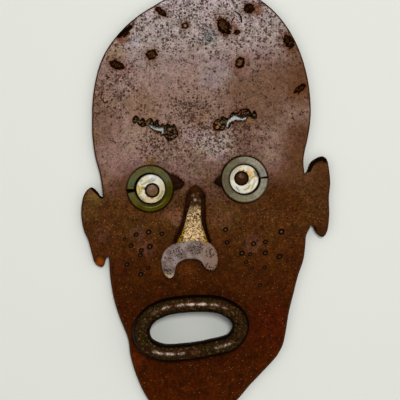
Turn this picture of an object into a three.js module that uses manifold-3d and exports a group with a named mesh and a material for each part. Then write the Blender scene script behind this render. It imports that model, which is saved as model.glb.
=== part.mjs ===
// Scrap metal face mask, lying on its flat back: a torch-cut steel face with washers for eyes,
// an open-end wrench for a nose and a chain link for a mouth.
// Millimetres. +Z comes out of the face, +Y points to the crown, +X to the viewer's right.
// The origin is under the middle of the mask, on the surface that it lies on.

import * as THREE from "three";
import Module from "manifold-3d";
import { mergeVertices } from "three/addons/utils/BufferGeometryUtils.js";

const wasm = await Module();
wasm.setup();

// Face plate: one piece of 5 mm sheet, its edge cut freehand.
const plateThickness = 5;
const hollowFloor = 1.5;
const edgeStep = 3;
// Edges shorter than this after a cut are closed up.
const sliver = 0.01;

// The skull is half an ellipse that leans to the right at the crown.
const skull = { x: -2.9, y: 66.6, halfWidth: 78.8, height: 91.4, lean: 7.2, steps: 72 };
// Places on the skull where the cut ran flat or full: degrees round, how far in, over how many degrees.
const skullFlats = [
  { at: 119, inward: 2, over: 13 },
  { at: 154, inward: -1.3, over: 12 },
];
// The cheeks and jaw, from the left temple down round the chin and up to the right temple.
const jawLine = [
  [-81.6, 50], [-79.4, 34], [-76.2, 22], [-74.1, 8], [-72.4, -15.5], [-69.6, -38], [-68.8, -50.8],
  [-66, -68], [-61.6, -82], [-55.8, -96.8], [-54.2, -108], [-50.5, -121], [-43.4, -137], [-34.9, -148],
  [-21.2, -156], [-9.7, -158], [2, -155.9], [13, -149.4], [22.7, -140.8], [32, -130], [43, -118.4],
  [51.4, -109], [55.7, -101], [57.4, -94], [60.2, -77], [63.2, -65], [66.6, -51.5], [70.6, -39.5],
  [71.9, -29.9], [72.7, -22], [75.7, -15], [74.5, 3.2], [71.6, 21.2], [70.6, 30.6], [71.4, 37.8],
  [73.4, 46.4], [75.2, 57],
];
const leftEar = [
  [-70.2, 4], [-74.9, 5.5], [-78.5, 9.9], [-82.1, 12.4], [-85.7, 9.9], [-88, 5.8], [-89.6, -6.1],
  [-87.5, -19.1], [-84.5, -25.9], [-81.3, -37.8], [-79.8, -42.1], [-77.4, -44.6], [-74.2, -44.9],
  [-72.4, -41.8], [-71.4, -38.5], [-69.6, -37.3], [-64.4, -34.2],
];
const rightEar = [
  [68, 19.1], [72.1, 22.8], [74.1, 26.1], [75.5, 30.2], [79, 33], [84.2, 34.8], [87.3, 33], [88.4, 28.8],
  [89.9, 16.7], [88.9, 4.7], [89.2, -7.3], [87.8, -19.1], [86.2, -22.4], [84.2, -23.6], [81.7, -22.4],
  [78.5, -18.6], [77.1, -14.7], [75.7, -15], [68, -16.9],
];
// Facets that the torch left on the ear tips: the front edge of each, how far it runs out, and how
// far it falls over that reach.
const earFacets = [
  { from: [74.2, 28.4], to: [90.5, 29.4], reach: 6.5, fall: 3 },
  { from: [90, -15.6], to: [76, -15.6], reach: 9, fall: 3.4 },
  { from: [-71.6, -39.2], to: [-83.5, -38.8], reach: 7, fall: 3 },
  { from: [-82.6, 11.4], to: [-74.6, 3.6], reach: 2.6, fall: 3.2 },
];

// Brows: ragged slots burnt through the plate, each given round its edge from the left end.
const leftBrow = [
  [-52, 59.8], [-51.5, 62.3], [-50, 63.5], [-48.5, 62.1], [-47.2, 59.8], [-45.1, 61.8], [-43.2, 59.5],
  [-39.4, 61.7], [-36.7, 57.4], [-34.9, 60.8], [-33.8, 56.9], [-32, 55.7], [-31.2, 57.7], [-29.5, 56.4],
  [-27, 57.6], [-24.8, 55.8], [-22.7, 57.2], [-21.6, 54.4], [-20.2, 50.8], [-22, 48.2], [-24.8, 46.8],
  [-27, 46.4], [-28.4, 48.6], [-30.2, 50.4], [-31.7, 50.2], [-32.5, 52.6], [-34.3, 51.8], [-35.6, 53.6],
  [-37.4, 53.8], [-38.9, 55.1], [-41.7, 57.4], [-43.6, 56.9], [-45.4, 56.3], [-47.2, 57.2], [-49.5, 59.8],
  [-51.1, 58.8],
];
const rightBrow = [
  [5.8, 57.2], [7.9, 60.5], [9, 61.2], [10.8, 59.8], [12.2, 62.9], [14.4, 61.9], [16.9, 61.6],
  [19.4, 65.9], [22, 65.5], [24.1, 66.2], [25.6, 68], [27.7, 68.4], [30.6, 68.5], [32.4, 65.9],
  [33.7, 64.4], [35.1, 67.1], [36.2, 65.2], [36.2, 62.1], [34.2, 62.6], [31, 64.1], [29.5, 62.3],
  [28.1, 60], [25.9, 60.8], [24.8, 59.8], [23.4, 60.4], [20.2, 60.1], [19.8, 58.3], [18, 59],
  [17.3, 56.5], [16.2, 55.1], [15, 56.5], [14.2, 57.6], [13, 54.4], [11.5, 53.6], [9.7, 54], [7.4, 54],
];

// Hollows cut into the front face and closed behind: the eye corners and the bed of the wrench.
const leftEyeCorner = [
  [-25.3, 21.5], [-20, 19.8], [-15.8, 16.1], [-15.2, 14.5], [-18.4, 11.5], [-22.9, 9.9], [-28.4, 9],
  [-30.6, 16.2], [-28.4, 21.6],
];
const rightEyeCorner = [[6.3, 15.7], [11, 20.7], [16.2, 22], [17.6, 16.2], [16.2, 11.2], [11.8, 12.4]];
const noseHollow = [
  [-7.6, 13.5], [-0.9, 8], [-0.1, -4], [0.2, -12.6], [1.5, -19.8], [3.2, -25.6], [2.2, -31.2],
  [-21, -31.2], [-22.8, -25.6], [-20.4, -21], [-16.8, -11.2], [-15.1, -1.7], [-13.2, 8],
];

// Weld beads on the forehead: place, length, width, height, and the turn of the long way in degrees.
const foreheadBeads = [
  [-38.7, 107.9, 8.2, 7.6, 2.4, 0], [-66, 101.4, 7, 5.6, 2.2, 20], [-61.4, 99.4, 6.4, 5.2, 2, -35],
  [-57.6, 123.6, 7, 4.4, 2, 48], [-32.2, 138.9, 10.8, 4.4, 1.9, -40], [-14.7, 128.7, 4.8, 4.6, 1.8, 0],
  [13.3, 128.2, 13.6, 9.4, 2.4, -58], [22.6, 124.2, 4.6, 4, 1.4, 20], [31.3, 141.3, 8.2, 7.4, 2.2, 15],
  [24.7, 101.9, 9, 7, 2.4, 70], [59.9, 117.4, 11.2, 7, 2.2, -62], [68, 83.4, 11, 4.6, 2, 34],
  [1.1, 152.3, 7, 5, 2, 10], [7.9, 55.6, 7.4, 5.8, 1.6, 60],
];
// Spatter drops on the cheeks: place and width.
const cheekDrops = [
  [-58.4, -24.9, 2.3], [-49.9, -21.7, 3.1], [-40.9, -19.9, 3.5], [-31.4, -21, 3], [-53.7, -29.6, 3.2],
  [-40, -30.3, 3.7], [-46.2, -33, 3], [-46.9, -36.5, 3.2], [-56.4, -43.1, 3.4], [-41.2, -45.9, 3],
  [-46.6, -50.3, 3.5], [14.4, -18.1, 3.3], [15.5, -27.3, 3.2], [54.6, -19.6, 4.2], [34.6, -28.2, 3.2],
  [43.2, -26.9, 3.1], [26.3, -35.1, 3.8], [32.2, -35.9, 2.7], [43.1, -34.8, 3.6], [53.3, -37.4, 3.9],
  [29.2, -41.6, 2.7], [42.6, -45.3, 2.7], [33.5, -46.1, 2.6], [39.4, -58.2, 3],
];
const dropHeight = 0.9;

// Eyes: a split lock washer round a flat washer, with a cut rod end in the middle.
const lockWasher = { outer: 16.5, inner: 11.05, thickness: 4, bevel: 0.5, rise: 0.8, splay: 0.5, steps: 27 };
const flatWasher = { outer: 10.35, hole: 5.2, thickness: 2.2, bevel: 0.3, steps: 20 };
const pupil = { radius: 4.4, wall: 2.7, dome: 0.9, sides: 24, rings: 4 };
const eyes = [
  { side: "left", x: -39.7, y: 11.3, flat: [-39.35, 11.28], hole: [1.08, -1.15], split: 181, gap: 7 },
  { side: "right", x: 27.95, y: 18.05, flat: [27.75, 18.1], hole: [-1.94, 0.72], split: 3, gap: 1.6 },
];

// Nose: the cut-off open end of a wrench, jaws down. The head's outline goes round from the left
// jaw's tip; the shank is given from the head up by height, middle, half width and top.
const wrenchHead = { thickness: 6, bevel: 0.8, step: 1.8 };
const jaws = [
  [-25.8, -53], [-29.8, -49.6], [-31.8, -42.4], [-30.7, -35.3], [-26.5, -30.3], [-19.8, -27.2], [-11.1, -25.7],
  [-2.5, -26], [3.6, -27.9], [7.7, -33.2], [9, -39.9], [6.6, -46.3], [2.8, -47.4], [-0.7, -44.9],
  [-3.6, -40.5], [-9.7, -38.9], [-16.1, -39.9], [-20.4, -43], [-21.7, -47.4], [-22.8, -51.4],
];
const shank = [
  [-28.6, -9.7, 11.4, 9.9], [-26.1, -9.3, 11, 9.7], [-20.8, -8.9, 8.6, 9], [-13.6, -8.8, 6.2, 8.1],
  [-6.4, -8.2, 5, 7], [0.7, -7, 4.1, 5.7], [8, -7.1, 3.5, 4.4], [9.6, -7.2, 2, 3.6],
];
const shankBottom = 2;
const shankSides = 16;

// Mouth: a chain link of 13 mm bar, its underside flattened where it is welded down.
const link = { barRadius: 6.5, sitsAt: 6.1, steps: 56, sides: 16 };
const linkPath = [
  [-45.8, -89.8], [-41.4, -80.4], [-30, -73.7], [-7.5, -70.6], [11.5, -72.2], [22.5, -79.3],
  [25.1, -87.5], [19.5, -97.2], [5, -102], [-14, -105.2], [-32, -105.4], [-42.6, -99.8],
];
// The plate is cut out under the link, this much inside the middle of the bar.
const mouthInset = 5.2;

const finishes = {
  plate: { color: 0x5a3826, roughness: 0.78, metalness: 0.35 },
  leftLock: { color: 0x5c6a48, roughness: 0.55, metalness: 0.6 },
  rightLock: { color: 0x82867a, roughness: 0.5, metalness: 0.7 },
  flat: { color: 0xd8d2c0, roughness: 0.6, metalness: 0.3 },
  rod: { color: 0x5b463c, roughness: 0.75, metalness: 0.4 },
  wrench: { color: 0x8a8288, roughness: 0.65, metalness: 0.3 },
  link: { color: 0x40301f, roughness: 0.45, metalness: 0.7 },
};

const toVectors = (points) => points.map(([x, y]) => new THREE.Vector3(x, y, 0));

/** Smooth curve through points, closed or open, sampled at an even spacing. */
function smooth(points, closed, spacing) {
  const curve = new THREE.CatmullRomCurve3(toVectors(points), closed, "centripetal");
  const steps = Math.round(curve.getLength() / spacing);
  const samples = curve.getSpacedPoints(steps);
  if (closed) samples.pop();
  return samples.map((p) => new THREE.Vector2(p.x, p.y));
}

/** A closed three.js geometry as a solid that can be cut and joined. */
function toSolid(geometry) {
  const bare = geometry.clone();
  bare.deleteAttribute("normal");
  bare.deleteAttribute("uv");
  const merged = mergeVertices(bare, 1e-4);
  const vertProperties = Float32Array.from(merged.attributes.position.array);
  const triVerts = Uint32Array.from(merged.index.array);
  return new wasm.Manifold(new wasm.Mesh({ numProp: 3, vertProperties, triVerts }));
}

/** A solid back as a three.js geometry, without the slivers that a cut leaves. */
function toGeometry(solid) {
  const mesh = solid.simplify(sliver).getMesh();
  const geometry = new THREE.BufferGeometry();
  geometry.setAttribute("position", new THREE.BufferAttribute(mesh.vertProperties, 3));
  geometry.setIndex(new THREE.BufferAttribute(mesh.triVerts, 1));
  geometry.computeVertexNormals();
  return geometry;
}

/** A flat outline raised from one height to another, with an optional bevelled top and bottom. */
function prism(outline, bottom, top, { bevel = 0, holes = [] } = {}) {
  const shape = new THREE.Shape(outline);
  shape.holes = holes.map((hole) => new THREE.Path(hole));
  const geometry = new THREE.ExtrudeGeometry(shape, {
    depth: top - bottom - 2 * bevel,
    bevelEnabled: bevel > 0,
    bevelThickness: bevel,
    bevelSize: bevel,
    bevelOffset: -bevel,
    bevelSegments: 1,
  });
  return geometry.translate(0, 0, bottom + bevel);
}

/** Outline of the skull, from the right temple over the crown to the left temple. */
function skullOutline() {
  const points = [];
  for (let i = 0; i <= skull.steps; i += 1) {
    const degrees = (180 * i) / skull.steps;
    const angle = THREE.MathUtils.degToRad(degrees);
    const inward = skullFlats.reduce(
      (sum, flat) => sum + flat.inward * Math.exp(-(((degrees - flat.at) / flat.over) ** 2)),
      0,
    );
    const x = (skull.halfWidth - inward) * Math.cos(angle) + skull.lean * Math.sin(angle) ** 2;
    const y = (skull.height - inward) * Math.sin(angle);
    points.push(new THREE.Vector2(skull.x + x, skull.y + y));
  }
  return points;
}

/** The whole face outline without its ears. */
function faceOutline() {
  const dome = skullOutline();
  const first = dome[0];
  const last = dome[dome.length - 1];
  const jaw = smooth([[last.x, last.y], ...jawLine, [first.x, first.y]], false, edgeStep);
  return [...dome, ...jaw.slice(1, -1)];
}

/** A wedge that takes a sloping facet off the front of the plate. */
function facetCutter({ from, to, reach, fall }) {
  const along = new THREE.Vector3(to[0] - from[0], to[1] - from[1], 0);
  const length = along.length();
  along.normalize();
  const up = new THREE.Vector3(0, 0, 1);
  const outward = new THREE.Vector3().crossVectors(up, along);
  const clearance = 2;
  const section = [
    new THREE.Vector2(0, 0),
    new THREE.Vector2(reach, -fall),
    new THREE.Vector2(reach, clearance),
    new THREE.Vector2(0, clearance),
  ];
  const wedge = prism(section, 0, length);
  const place = new THREE.Matrix4().makeBasis(outward, up, outward.clone().cross(up));
  const start = new THREE.Vector3(from[0], from[1], plateThickness);
  if (outward.clone().cross(up).dot(along) < 0) start.addScaledVector(along, length);
  place.setPosition(start);
  return wedge.applyMatrix4(place);
}

/** A low dome of weld metal, sunk into the front of the plate. */
function bead([x, y, length, width, height, turn], sides = 12) {
  const rings = Math.round(sides / 2);
  const sunk = 0.35;
  const drop = new THREE.SphereGeometry(1, sides, rings).rotateX(Math.PI / 2);
  drop.scale(length / 2, width / 2, height / (1 - sunk));
  drop.rotateZ(THREE.MathUtils.degToRad(turn));
  return drop.translate(x, y, plateThickness - (sunk * height) / (1 - sunk));
}

/** The mouth hole in the plate: the middle line of the link, moved inward. */
function mouthOutline() {
  const path = smooth(linkPath, true, edgeStep);
  const middle = path.reduce((sum, p) => sum.add(p), new THREE.Vector2()).divideScalar(path.length);
  return path.map((p, i) => {
    const before = path[(i + path.length - 1) % path.length];
    const after = path[(i + 1) % path.length];
    const tangent = after.clone().sub(before).normalize();
    const side = new THREE.Vector2(-tangent.y, tangent.x);
    const inward = side.dot(middle.clone().sub(p)) > 0 ? side : side.negate();
    return p.clone().addScaledVector(inward, mouthInset);
  });
}

function makePlate() {
  const top = plateThickness;
  let solid = toSolid(prism(faceOutline(), 0, top));
  for (const ear of [leftEar, rightEar]) {
    solid = solid.add(toSolid(prism(smooth(ear, true, edgeStep), 0, top)));
  }
  for (const facet of earFacets) {
    solid = solid.subtract(toSolid(facetCutter(facet)));
  }
  for (const hollow of [leftEyeCorner, rightEyeCorner, noseHollow]) {
    solid = solid.subtract(toSolid(prism(smooth(hollow, true, edgeStep), hollowFloor, top + 1)));
  }
  const through = [leftBrow, rightBrow].map((brow) => brow.map(([x, y]) => new THREE.Vector2(x, y)));
  through.push(mouthOutline());
  for (const hole of through) {
    solid = solid.subtract(toSolid(prism(hole, -1, top + 1)));
  }
  for (const spot of foreheadBeads) {
    solid = solid.add(toSolid(bead(spot)));
  }
  for (const [x, y, width] of cheekDrops) {
    solid = solid.add(toSolid(bead([x, y, width, width * 0.88, dropHeight, 30], 8)));
  }
  return toGeometry(solid);
}

/** A split ring whose far end climbs and springs outward. */
function makeLockWasher({ split, gap }) {
  const { outer, inner, thickness, bevel, rise, splay, steps } = lockWasher;
  const start = THREE.MathUtils.degToRad(split + gap / 2);
  const sweep = THREE.MathUtils.degToRad(360 - gap);
  const arc = (radius) => {
    const points = [];
    for (let i = 0; i <= steps; i += 1) {
      const angle = start + (sweep * i) / steps;
      points.push(new THREE.Vector2(radius * Math.cos(angle), radius * Math.sin(angle)));
    }
    return points;
  };
  const outline = [...arc(outer), ...arc(inner).reverse()];
  const geometry = prism(outline, 0, thickness, { bevel });
  const position = geometry.attributes.position;
  const turn = 2 * Math.PI;
  for (let i = 0; i < position.count; i += 1) {
    const x = position.getX(i);
    const y = position.getY(i);
    const round = THREE.MathUtils.euclideanModulo(Math.atan2(y, x) - start + 0.02, turn) / sweep;
    const lift = THREE.MathUtils.smoothstep(round, 0.5, 1);
    const grow = 1 + (splay / outer) * lift;
    position.setXYZ(i, x * grow, y * grow, position.getZ(i) + rise * lift);
  }
  return geometry;
}

function circle(radius, x, y, steps) {
  const curve = new THREE.EllipseCurve(x, y, radius, radius, 0, 2 * Math.PI);
  return curve.getPoints(steps).slice(0, -1);
}

function makeFlatWasher({ hole }) {
  const { outer, hole: holeRadius, thickness, bevel, steps } = flatWasher;
  const bore = circle(holeRadius, hole[0], hole[1], steps);
  return prism(circle(outer, 0, 0, 2 * steps), 0, thickness, { bevel, holes: [bore] });
}

function makePupil() {
  const { radius, wall, dome, sides, rings } = pupil;
  const profile = [new THREE.Vector2(0, 0)];
  for (let i = 0; i <= rings; i += 1) {
    const angle = (Math.PI / 2) * (i / rings);
    const reach = i === rings ? 0 : radius * Math.cos(angle) ** 0.5;
    profile.push(new THREE.Vector2(reach, wall + dome * Math.sin(angle)));
  }
  profile.splice(1, 0, new THREE.Vector2(radius, 0));
  return new THREE.LatheGeometry(profile, sides).rotateX(Math.PI / 2);
}

/** The tapered shank: a drum whose sides are moved out to a soft-cornered section at each station. */
function shankGeometry() {
  const rows = shank.length - 1;
  const geometry = new THREE.CylinderGeometry(1, 1, rows, shankSides, rows);
  const position = geometry.attributes.position;
  const squareness = 0.6;
  const soften = (v) => (Math.abs(v) < 1e-5 ? 0 : Math.sign(v) * Math.abs(v) ** squareness);
  for (let i = 0; i < position.count; i += 1) {
    const [y, middle, half, top] = shank[Math.round(position.getY(i) + rows / 2)];
    const halfHeight = (top - shankBottom) / 2;
    const x = middle + half * soften(position.getX(i));
    const z = shankBottom + halfHeight + halfHeight * soften(position.getZ(i));
    position.setXYZ(i, x, y, z);
  }
  return geometry;
}

function makeWrench() {
  const { thickness, bevel, step } = wrenchHead;
  const outline = smooth(jaws, true, step);
  const head = prism(outline, plateThickness, plateThickness + thickness, { bevel });
  return toGeometry(toSolid(head).add(toSolid(shankGeometry())));
}

/** The link: a torus whose vertices are moved on to the link's own path. */
function makeLink() {
  const { barRadius, sitsAt, steps, sides } = link;
  const path = new THREE.CatmullRomCurve3(toVectors(linkPath), true, "centripetal");
  const geometry = new THREE.TorusGeometry(3, 1, sides, steps);
  const position = geometry.attributes.position;
  const uv = geometry.attributes.uv;
  for (let i = 0; i < position.count; i += 1) {
    const along = uv.getX(i) % 1;
    const around = 2 * Math.PI * uv.getY(i);
    const p = path.getPointAt(along);
    const t = path.getTangentAt(along);
    const inward = barRadius * Math.cos(around);
    const height = Math.max(-sitsAt, barRadius * Math.sin(around));
    position.setXYZ(i, p.x + t.y * inward, p.y - t.x * inward, plateThickness + sitsAt + height);
  }
  return geometry;
}

const mask = new THREE.Group();
mask.name = "scrap_metal_face_mask";

function addPiece(name, geometry, finish, place = [0, 0, 0]) {
  const mesh = new THREE.Mesh(geometry, new THREE.MeshStandardMaterial(finish));
  mesh.name = name;
  mesh.position.set(...place);
  mask.add(mesh);
}

addPiece("face_plate", makePlate(), finishes.plate);
for (const eye of eyes) {
  const lockFinish = eye.side === "left" ? finishes.leftLock : finishes.rightLock;
  const bore = [eye.flat[0] + eye.hole[0], eye.flat[1] + eye.hole[1], plateThickness];
  addPiece(`${eye.side}_eye_lock_washer`, makeLockWasher(eye), lockFinish, [eye.x, eye.y, plateThickness]);
  addPiece(`${eye.side}_eye_flat_washer`, makeFlatWasher(eye), finishes.flat, [...eye.flat, plateThickness]);
  addPiece(`${eye.side}_eye_pupil_rod`, makePupil(), finishes.rod, bore);
}
addPiece("nose_wrench_end", makeWrench(), finishes.wrench);
addPiece("mouth_chain_link", makeLink(), finishes.link);

export default mask;
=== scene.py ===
"""Looks of the scrap metal face mask: rusted torch-cut plate, washer eyes, wrench nose, chain-link mouth.

The mask lies on its flat back and the camera looks straight down on its face. Sizes in this file are
millimetres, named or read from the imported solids, and each mesh is turned into metres when it is made.
+Z comes out of the face, +Y points to the crown and +X to the viewer's right.
"""

import logging
import math
from contextlib import contextmanager
from dataclasses import dataclass
from enum import Enum
from functools import cache, reduce
from typing import Callable, Iterator, Sequence

import bmesh
import bpy
import numpy as np
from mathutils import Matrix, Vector, noise
from mathutils.bvhtree import BVHTree
from mathutils.geometry import delaunay_2d_cdt
from mathutils.kdtree import KDTree


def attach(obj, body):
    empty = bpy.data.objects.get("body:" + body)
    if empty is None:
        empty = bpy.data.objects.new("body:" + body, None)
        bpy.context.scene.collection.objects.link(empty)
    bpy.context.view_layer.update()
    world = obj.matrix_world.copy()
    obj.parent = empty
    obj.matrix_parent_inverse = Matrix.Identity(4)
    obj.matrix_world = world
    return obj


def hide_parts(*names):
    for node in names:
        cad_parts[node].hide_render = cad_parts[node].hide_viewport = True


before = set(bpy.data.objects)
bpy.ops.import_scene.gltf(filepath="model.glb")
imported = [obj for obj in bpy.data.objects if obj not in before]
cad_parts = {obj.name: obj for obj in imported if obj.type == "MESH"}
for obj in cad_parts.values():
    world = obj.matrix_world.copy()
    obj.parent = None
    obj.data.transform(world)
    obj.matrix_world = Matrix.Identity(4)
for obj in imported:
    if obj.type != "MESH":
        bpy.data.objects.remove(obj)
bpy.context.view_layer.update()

log = logging.getLogger("scrap_metal_face_mask")

METRES = 0.001
BODY = "root"
PLATE_TOP = 5.0
SAME_POINT = 1e-7
# How far a point may be off a level and still lie in it, and how far above it a raised one starts.
IN_LEVEL = 0.01
ABOVE_LEVEL = 0.05
LAMPLIGHT = (235, 190, 150)

# A screen colour of three parts, 0 to 255, or a linear one with alpha.
Colour = tuple[float, ...]
# Rows of given numbers: the corners of a line, or places with a reach.
Rows = Sequence[tuple[float, ...]]
# Soft patches of another colour: x, y, reach, strength and colour of each, the last one on top.
Stains = Sequence[tuple[float, float, float, float, Colour]]
Loops = Sequence[np.ndarray]
Socket = bpy.types.NodeSocket
Mesh = bpy.types.Mesh
Piece = bpy.types.Object


class Slot(Enum):
    """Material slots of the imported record."""

    PLATE = "rusted_plate"
    LEFT_LOCK = "olive_lock_washer"
    RIGHT_LOCK = "grey_lock_washer"
    FLAT_WASHER = "whitened_washer"
    ROD = "rusted_rod"
    WRENCH = "worn_paint_wrench"
    CHAIN = "dark_chain"


class Mark(Enum):
    """Numbers that the finishes read at each point of a mesh; the burn, halo, hollow and rim marks also
    carry painted shade, and shine carries painted highlights.
    """

    SCORCH = "scorch"
    HALO = "halo"
    RECESS = "recess"
    RIM = "rim"
    SHINE = "shine"


Marks = dict[Mark, "np.ndarray | float"]


# Shape helpers


def rough(points: np.ndarray, size: float, seed: float) -> np.ndarray:
    """Read smooth noise at each point.

    Args:
        points: Rows of two or three coordinates.
        size: Width of the noise's lumps.
        seed: Picks one noise out of many.

    Returns:
        One number for each point, between about -1 and 1.
    """
    spots = points / size
    if points.shape[1] == 2:
        spots = np.column_stack([spots, np.full(len(spots), seed)])
    else:
        spots = spots + (seed, 0, -seed)
    return np.array([noise.noise(Vector(spot)) for spot in spots])


def lumpy(points: np.ndarray, size: float, seed: float) -> np.ndarray:
    """Read the same noise as a number between about 0 and 1."""
    return 0.5 + 0.5 * rough(points, size, seed)


def fade(value: np.ndarray | float, full: float, none: float) -> np.ndarray:
    """Fall smoothly from 1 where value is full to 0 where it is none."""
    share = np.clip((value - none) / (full - none), 0, 1)
    return share * share * (3 - 2 * share)


def circle(steps: int) -> np.ndarray:
    """Points round a circle of radius 1."""
    angle = np.linspace(0, 2 * math.pi, steps, endpoint=False)
    return np.column_stack([np.cos(angle), np.sin(angle)])


def smooth_loop(corners: np.ndarray, spacing: float) -> np.ndarray:
    """Draw a closed outline again as a centripetal spline with even steps.

    Args:
        corners: Corners of the outline in order.
        spacing: Rough distance between the new points.

    Returns:
        Points along the smooth outline.
    """
    around = [np.roll(corners, shift, axis=0) for shift in (1, 0, -1, -2)]
    knots = [np.zeros((len(corners), 1))]
    for first, second in zip(around, around[1:]):
        knots.append(knots[-1] + np.sqrt(np.linalg.norm(second - first, axis=1, keepdims=True)))
    pieces = 10
    drawn = []
    for part in range(pieces):
        t = knots[1] + (knots[2] - knots[1]) * part / pieces
        rows = around
        for spans in (((0, 1), (1, 2), (2, 3)), ((0, 2), (1, 3)), ((1, 2),)):
            rows = [
                ((knots[b] - t) * first + (t - knots[a]) * second) / (knots[b] - knots[a])
                for (a, b), first, second in zip(spans, rows, rows[1:])
            ]
        drawn.append(rows[0])
    fine = np.stack(drawn, axis=1).reshape(-1, 2)
    closed = np.vstack([fine, fine[:1]])
    reach = np.concatenate([[0], np.cumsum(np.linalg.norm(np.diff(closed, axis=0), axis=1))])
    wanted = np.linspace(0, reach[-1], max(8, round(reach[-1] / spacing)), endpoint=False)
    return np.column_stack([np.interp(wanted, reach, column) for column in closed.T])


def signed_area(loop: np.ndarray) -> float:
    """Area inside a closed outline, positive where it runs anticlockwise."""
    after = np.roll(loop, -1, axis=0)
    return float(np.sum(loop[:, 0] * after[:, 1] - after[:, 0] * loop[:, 1]) / 2)


def outward_normals(loop: np.ndarray) -> np.ndarray:
    """Unit normals of an anticlockwise outline, pointing out of it, one for each point."""
    along = np.roll(loop, -1, axis=0) - np.roll(loop, 1, axis=0)
    return np.column_stack([along[:, 1], -along[:, 0]]) / np.linalg.norm(along, axis=1, keepdims=True)


def near(loops: Loops, points: np.ndarray) -> np.ndarray:
    """Find how far each point is from the nearest point of some lines.

    Args:
        loops: The lines, as rows of x and y.
        points: Points, as rows of x and y.

    Returns:
        One distance for each point.
    """
    corners = np.vstack(loops)
    tree = KDTree(len(corners))
    for index, (x, y) in enumerate(corners):
        tree.insert((x, y, 0), index)
    tree.balance()
    return np.array([tree.find((x, y, 0))[2] for x, y in points])


def walk(corners: Rows, steps: int = 60) -> np.ndarray:
    """Points close together along an open line of corners."""
    at, given = np.linspace(0, len(corners) - 1, steps), np.arange(len(corners))
    return np.column_stack([np.interp(at, given, column) for column in np.array(corners).T])


def sides(loops: Loops) -> tuple[np.ndarray, np.ndarray]:
    """Starts and ends of all the straight sides of some outlines."""
    return np.vstack(loops), np.vstack([np.roll(loop, -1, axis=0) for loop in loops])


def grid_inside(loops: Loops, step: float, seed: int) -> np.ndarray:
    """Spread points evenly inside an outline and outside its holes.

    Args:
        loops: The outline and the holes, in any order.
        step: Distance between neighbours.
        seed: Seed of the small shuffle that hides the rows.

    Returns:
        Points as rows of x and y.
    """
    shuffle = 0.16
    start, end = sides(loops)
    low, high = start.min(axis=0), start.max(axis=0)
    rows = []
    row_step = step * math.sqrt(3) / 2
    for number, y in enumerate(np.arange(low[1] + row_step / 2, high[1], row_step)):
        crossed = (start[:, 1] > y) != (end[:, 1] > y)
        a, b = start[crossed], end[crossed]
        hits = np.sort(a[:, 0] + (y - a[:, 1]) / (b[:, 1] - a[:, 1]) * (b[:, 0] - a[:, 0]))
        xs = np.arange(low[0] + (number % 2) * step / 2, high[0], step)
        kept = xs[np.searchsorted(hits, xs) % 2 == 1]
        rows.append(np.column_stack([kept, np.full(len(kept), y)]))
    points = np.vstack(rows)
    return points + np.random.default_rng(seed).uniform(-shuffle, shuffle, points.shape) * step


def is_inside(loops: Loops, points: np.ndarray) -> np.ndarray:
    """Tell which points lie inside an outline and outside its holes.

    Args:
        loops: The outline and the holes, in any order.
        points: Points as rows of x and y.

    Returns:
        True or False for each point.
    """
    odd = np.zeros(len(points), bool)
    for a, b in zip(*sides(loops)):
        if a[1] == b[1]:
            continue
        crossed = (points[:, 1] < a[1]) != (points[:, 1] < b[1])
        hit = a[0] + (points[:, 1] - a[1]) / (b[1] - a[1]) * (b[0] - a[0])
        odd ^= crossed & (points[:, 0] < hit)
    return odd


def triangulate(loops: Loops, inner: np.ndarray) -> np.ndarray:
    """Fill the area between an outline and its holes with triangles.

    Args:
        loops: The outline and the holes.
        inner: Points to use inside.

    Returns:
        Anticlockwise triangles, as indices into the loops' points and then the inner ones.
    """
    edges = []
    count = 0
    for loop in loops:
        edges += [(count + i, count + (i + 1) % len(loop)) for i in range(len(loop))]
        count += len(loop)
    points = np.vstack([*loops, inner])
    made = delaunay_2d_cdt([Vector(point) for point in points], edges, [], 0, SAME_POINT)
    origin = np.array([source[0] for source in made[3]])
    triangles = origin[np.array(made[2])]
    doubtful = np.all(triangles < count, axis=1)
    keep = np.ones(len(triangles), bool)
    keep[doubtful] = is_inside(loops, points[triangles[doubtful]].mean(axis=1))
    triangles = triangles[keep]
    a, b, c = (points[triangles[:, corner]] for corner in range(3))
    turn = (b[:, 0] - a[:, 0]) * (c[:, 1] - a[:, 1]) - (b[:, 1] - a[:, 1]) * (c[:, 0] - a[:, 0])
    triangles[turn < 0] = triangles[turn < 0][:, ::-1]
    return triangles


# Mesh helpers


@contextmanager
def opened(mesh: Mesh) -> Iterator[bmesh.types.BMesh]:
    """Open a mesh for editing, and write it back at the end.

    Args:
        mesh: The mesh.

    Yields:
        Its open form.
    """
    work = bmesh.new()
    work.from_mesh(mesh)
    yield work
    work.to_mesh(mesh)
    work.free()


def face_outwards(mesh: Mesh, merge: float = 0.0) -> None:
    """Turn all faces of a closed mesh outwards.

    Args:
        mesh: The mesh.
        merge: Points closer than this many metres are made one first.
    """
    with opened(mesh) as work:
        if merge:
            bmesh.ops.remove_doubles(work, verts=work.verts, dist=merge)
        bmesh.ops.recalc_face_normals(work, faces=work.faces)


def store(mesh: Mesh, name: str, values: Sequence[float]) -> None:
    """Keep a number at each point of a mesh."""
    layer = mesh.attributes.new(name, "FLOAT", "POINT")
    layer.data.foreach_set("value", np.asarray(values, np.float32))


def link(name: str, data: bpy.types.ID) -> Piece:
    """Put an object into the scene.

    Args:
        name: Its name.
        data: Its mesh, camera or lamp.

    Returns:
        The object.
    """
    made = bpy.data.objects.new(name, data)
    bpy.context.scene.collection.objects.link(made)
    return made


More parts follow.
